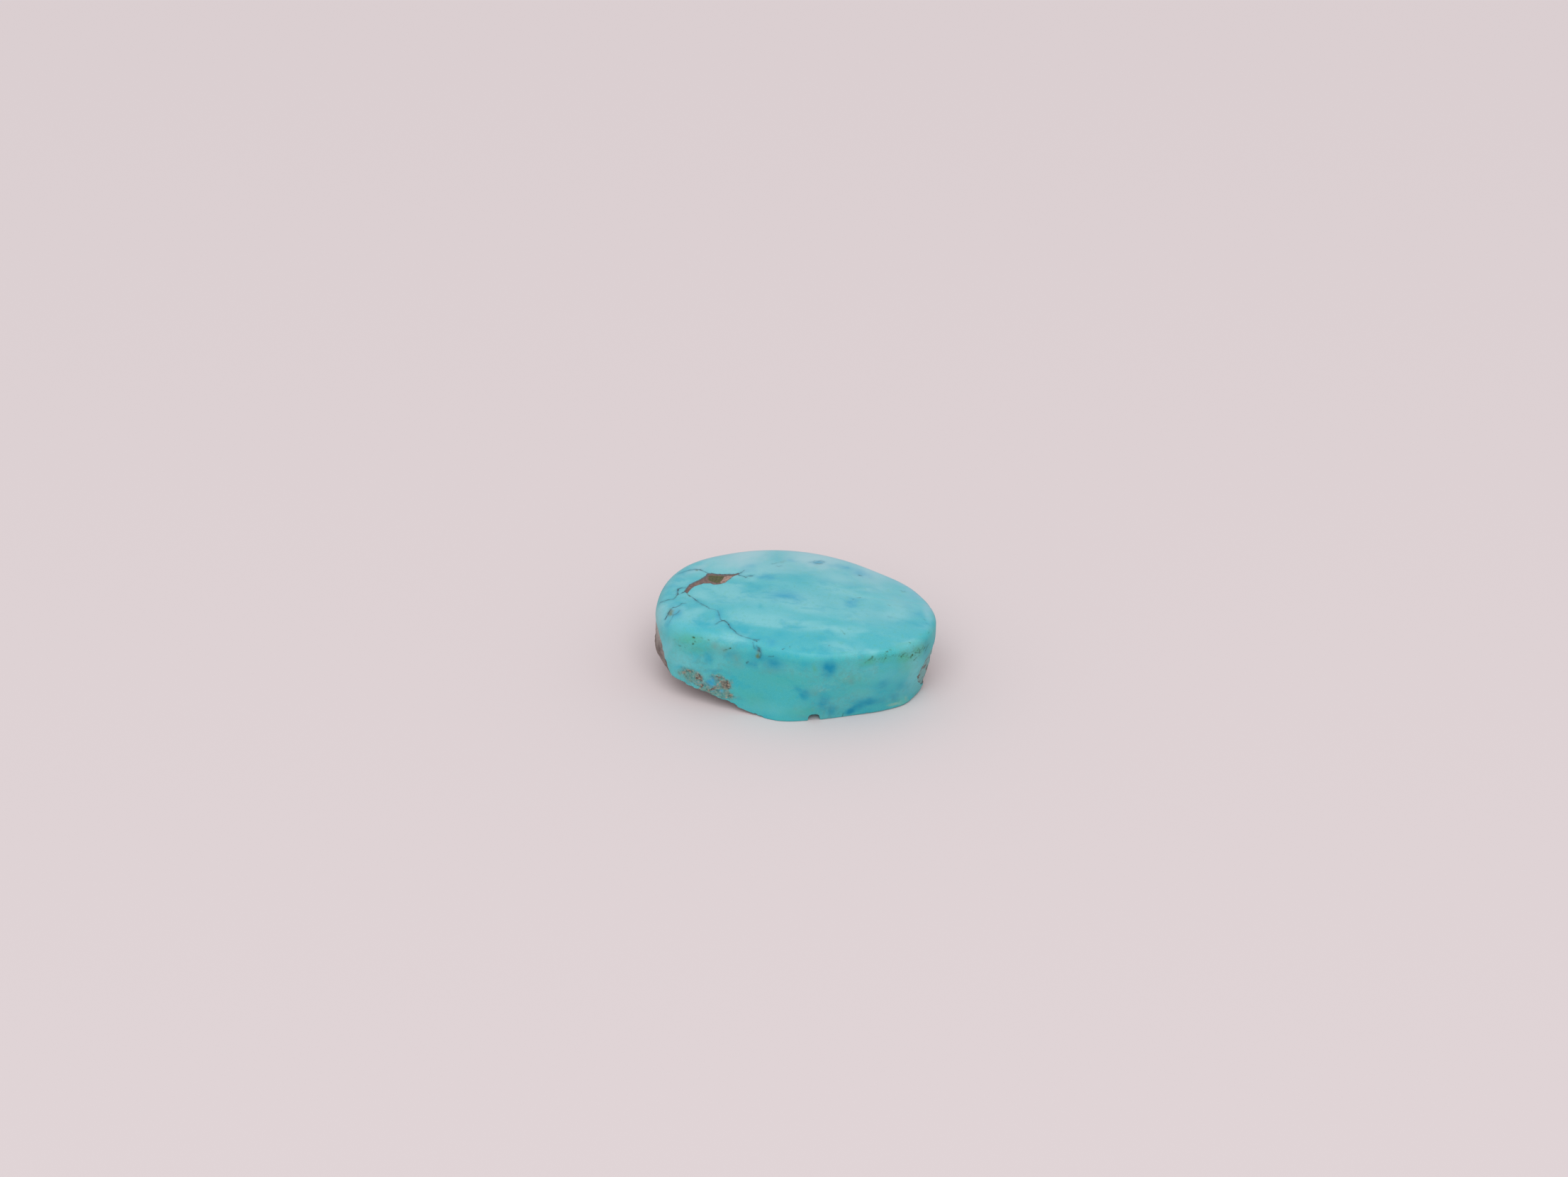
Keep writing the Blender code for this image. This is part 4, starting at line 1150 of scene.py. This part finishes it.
def stone_colour(paint, broad, middle, small):
    """Polished turquoise with its clouds, patches and lines, with painted sheen along the back edge and
    outline and painted light at the ends of the front wall.
    """
    wall = paint.strength("wall")
    clouds = paint.times(paint.between(broad, 0.42, 0.64), paint.blend(wall, 0.75, 0.30))
    grime = paint.times(wall, paint.between(small, 0.35, 0.60, 0.45, 0.0))
    grain = paint.noise(0.06 * MM, detail=1.0)
    specks = paint.between(paint.noise(0.10 * MM, roughness=0.7), 0.57, 0.65)
    return paint.coats(
        paint.mix(wall, TURQUOISE, TURQUOISE_WALL),
        (clouds, TURQUOISE_PALE),
        (paint.between(middle, 0.50, 0.68, 0.0, 0.55), TURQUOISE_DEEP),
        (paint.between(small, 0.50, 0.72, 0.0, 0.30), TURQUOISE_GREEN),
        (paint.times(grime, paint.between(broad, 0.40, 0.55)), GRIME),
        (paint.between(grain, 0.35, 0.65, 0.0, 0.10), TURQUOISE_PALE),
        (paint.between(grain, 0.35, 0.65, 0.10, 0.0), LINE_HALO),
        # pale clouds, with painted light at the wall's ends and painted sheen at the back edge
        (paint.cloudy("pale", middle), TURQUOISE_PALE),
        # painted sheen along the back edge and the outline
        (paint.strength("painted_sheen"), TURQUOISE_SHEEN),
        # painted sheen along the back rim
        (paint.cloudy("back_rim_sheen", middle, 0.35, 0.80), RIM_SHEEN),
        (paint.cloudy("aqua", middle), TURQUOISE_DEEP),
        (paint.cloudy("green", middle), TURQUOISE_GREEN),
        (paint.cloudy("blue", middle, 0.85, 1.35), paint.mix(wall, TURQUOISE_CLEAR, TURQUOISE_BLUE)),
        (paint.cloudy("haze", small), HAZE),
        (paint.ragged("cream", small, 0.15, 0.70, 0.6), CREAM),
        (paint.ragged("olive", small, 0.20, 0.80, 0.6), OLIVE),
        (paint.times(paint.times(paint.strength("speckle"), specks), 0.75), SPECKLE),
        (paint.times(paint.strength("halo"), paint.between(middle, 0.4, 0.6, 0.18, 0.72)), LINE_HALO),
        (paint.strength("green_line"), LINE_GREEN),
        (paint.strength("dark_line"), LINE_DARK))


def matrix_colour(paint, small):
    """Host rock in the front wall: pale grey-green with brown and cream grains."""
    grain = paint.noise(0.36 * MM, detail=3.0, roughness=0.6)
    grit = paint.noise(0.18 * MM, roughness=0.55)
    browned = paint.maths("MAXIMUM", paint.strength("matrix_brown"), paint.strength("brown_line"))
    brown = paint.maths("ADD", browned, paint.uneven(grain, 1.3))
    light = paint.times(paint.between(grit, 0.48, 0.70), paint.between(browned, 0.0, 0.6, 0.30, 0.80))
    return paint.coats(
        paint.mix(paint.between(grain, 0.32, 0.60, 0.55, 1.0), TURQUOISE_WALL, MATRIX_GREY),
        (paint.between(brown, 0.10, 0.60, 0.0, 0.80), MATRIX_TAN),
        (paint.between(brown, 0.40, 0.95, 0.0, 0.95), MATRIX_BROWN),
        (light, MATRIX_CREAM),
        (paint.between(grit, 0.30, 0.50, 0.70, 0.0), MATRIX_DARK),
        (paint.cloudy("matrix_blue", small, 0.8, 1.3), MATRIX_BLUE))


def vein_colour(paint, small, tiny):
    """The brown vein, and the pit with its green mineral and pink crystal."""
    green = paint.mix(paint.between(tiny, 0.38, 0.62), PIT_GREEN_DARK, PIT_GREEN)
    crystal = paint.mix(paint.between(small, 0.38, 0.58), CRYSTAL_BROWN, CRYSTAL_PINK)
    return paint.coats(
        paint.mix(paint.between(small, 0.38, 0.62), VEIN_DARK, VEIN_BROWN),
        (paint.strength("pit_green"), green),
        (paint.strength("pit_crystal"), crystal))


def rock_colour(paint, rough_noise, fine_noise):
    """Grey-brown host rock, teal with red-brown grains at the broken right end, and painted light making the
    left end paler towards its top.
    """
    stain = paint.noise(2.6 * MM, detail=3.0, roughness=0.6)
    bits = paint.noise(1.5 * MM, detail=4.0, roughness=0.7, distortion=0.8)
    patchy = paint.noise(0.55 * MM, detail=3.0, roughness=0.6)
    at_right = paint.strength("right_end")
    edge = paint.times(paint.times(at_right, paint.maths("SUBTRACT", 1.0, at_right)), 2.2)
    return paint.coats(
        paint.mix(paint.between(rough_noise, 0.36, 0.62), ROCK_DARK, ROCK_GREY),
        (paint.between(fine_noise, 0.56, 0.72, 0.0, 0.6), ROCK_PALE),
        (paint.between(stain, 0.54, 0.68, 0.0, 0.6), ROCK_OCHRE),
        (paint.between(bits, 0.66, 0.70, 0.0, 0.85), TURQUOISE_GREEN),
        (paint.times(at_right, paint.between(patchy, 0.48, 0.68, 0.9, 0.0)), ROCK_TEAL),
        (paint.times(at_right, paint.between(patchy, 0.50, 0.66, 0.0, 0.75)), ROCK_RED),
        (edge, BREAK_EDGE),
        # painted light, paler towards the top of the left end's rock
        (paint.times(paint.strength("lit_rock_top"), 0.8), ROCK_LIT_TOP))


def turquoise_material():
    """Turquoise, host rock, vein and sawn base in one material, told apart by the stone's strengths."""
    material = bpy.data.materials.new("polished_turquoise")
    paint = Paint(material)
    streak = ((0.0, 0.0, radians(-12)), (0.55, 1.0, 1.0))
    broad = paint.noise(3.4 * MM, roughness=0.55, distortion=0.6, stretch=streak)
    middle = paint.noise(1.1 * MM, detail=4.0, roughness=0.62, distortion=0.4, stretch=streak)
    small = paint.noise(0.35 * MM, detail=3.0, roughness=0.6)
    tiny = paint.noise(0.09 * MM, roughness=0.6)
    rough_noise = paint.noise(0.8 * MM, detail=5.0, roughness=0.65)
    fine_noise = paint.noise(0.16 * MM, detail=3.0, roughness=0.7)
    in_matrix = paint.ragged("matrix", small, 0.15, 0.65, 0.7)
    in_rock = paint.ragged("rock", fine_noise, 0.35, 0.65, 0.4)
    in_pit, under, wall = (paint.strength(name) for name in ("pit", "under", "wall"))
    pit_rim = paint.times(paint.strength("pit_rim"), paint.between(small, 0.35, 0.60, 0.45, 0.95))
    rock = rock_colour(paint, rough_noise, fine_noise)
    made = paint.coats(
        stone_colour(paint, broad, middle, small),
        (paint.times(in_matrix, 0.95), matrix_colour(paint, small)),
        (in_pit, vein_colour(paint, small, tiny)),
        (pit_rim, VEIN_RIM),
        (paint.times(paint.ragged("rind", small, 0.3, 1.0, 1.4), 0.30), RIND),
        (in_rock, rock),
        (under, SAWN),
        (paint.ragged("broken", rough_noise, 0.3, 0.7, 0.8), rock))

    rough = paint.blend(wall, 0.34, 0.50)
    rougher = [(in_rock, 0.85), (in_matrix, 0.70), (in_pit, 0.65), (under, 0.75),
               (paint.strength("dark_line"), 0.60)]
    for share, roughness in rougher:
        rough = paint.blend(share, rough, roughness)
    height = paint.blend(in_rock, paint.times(middle, 0.02), fine_noise)
    bump = paint.node("Bump", {"Distance": BUMP_DEPTH, "Height": height})
    paint.feed(paint.shader, {
        "Base Color": made, "Roughness": rough, "Normal": bump.outputs["Normal"], "IOR": TURQUOISE_IOR,
        "Specular IOR Level": paint.blend(wall, 0.50, 0.20)})
    return material


# ---- Scene -----------------------------------------------------------------------------------------------
def add_object(name, data):
    made = bpy.data.objects.new(name, data)
    bpy.context.scene.collection.objects.link(made)
    return made


def mesh_object(name, bm, material):
    """An object made of a bmesh, which is used up, with its material."""
    mesh = bpy.data.meshes.new(name)
    bm.to_mesh(mesh)
    bm.free()
    mesh.materials.append(material)
    return add_object(name, mesh)


def make_stone():
    """The one piece that stands for the CAD solid. Its places are kept within that solid's box."""
    markings = Markings()
    bm, smooth = stone_mesh(markings)
    low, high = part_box(NODE)
    place_verts(bm, np.clip(coordinates(bm) - PLAN_CENTRE, np.array(low), np.array(high)))
    stone = mesh_object("turquoise_stone", bm, turquoise_material())
    stone.data.shade_smooth()
    write_strengths(stone.data, strengths(smooth, markings))
    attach(stone, "root")
    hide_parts(NODE)


def make_floor():
    bm = bmesh.new()
    bmesh.ops.create_grid(bm, x_segments=1, y_segments=1, size=FLOOR_HALF)
    material = bpy.data.materials.new("pale_floor")
    material.use_nodes = True
    shader = material.node_tree.nodes["Principled BSDF"]
    for name, value in (("Base Color", FLOOR_COLOUR), ("Roughness", 0.9), ("Specular IOR Level", 0.0)):
        shader.inputs[name].default_value = value
    mesh_object("floor", bm, material)


def make_world():
    world = bpy.data.worlds.new("studio")
    world.use_nodes = True
    background = world.node_tree.nodes["Background"]
    background.inputs["Color"].default_value = WORLD_COLOUR
    background.inputs["Strength"].default_value = WORLD_STRENGTH
    bpy.context.scene.world = world


def make_light():
    data = bpy.data.lights.new("key_light", "AREA")
    data.size = LIGHT_SIZE
    data.energy = LIGHT_POWER
    light = add_object("key_light", data)
    light.location = LIGHT_PLACE
    light.rotation_euler = (-Vector(LIGHT_PLACE)).to_track_quat("-Z", "Y").to_euler()


def make_camera():
    data = bpy.data.cameras.new("camera")
    data.sensor_width = SENSOR_WIDTH
    data.lens = SENSOR_WIDTH * PIXELS_PER_METRE * CAMERA_DISTANCE / PHOTO_WIDTH
    data.clip_start, data.clip_end = CAMERA_CLIP
    camera = add_object("camera", data)
    turn = Matrix(camera_axes()).transposed().to_4x4()
    camera.matrix_world = Matrix.Translation(camera_place() - PLAN_CENTRE) @ turn
    bpy.context.scene.camera = camera


def main():
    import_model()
    make_camera()
    make_stone()
    make_floor()
    make_world()
    make_light()
    bpy.context.scene.view_settings.view_transform = "Standard"


main()
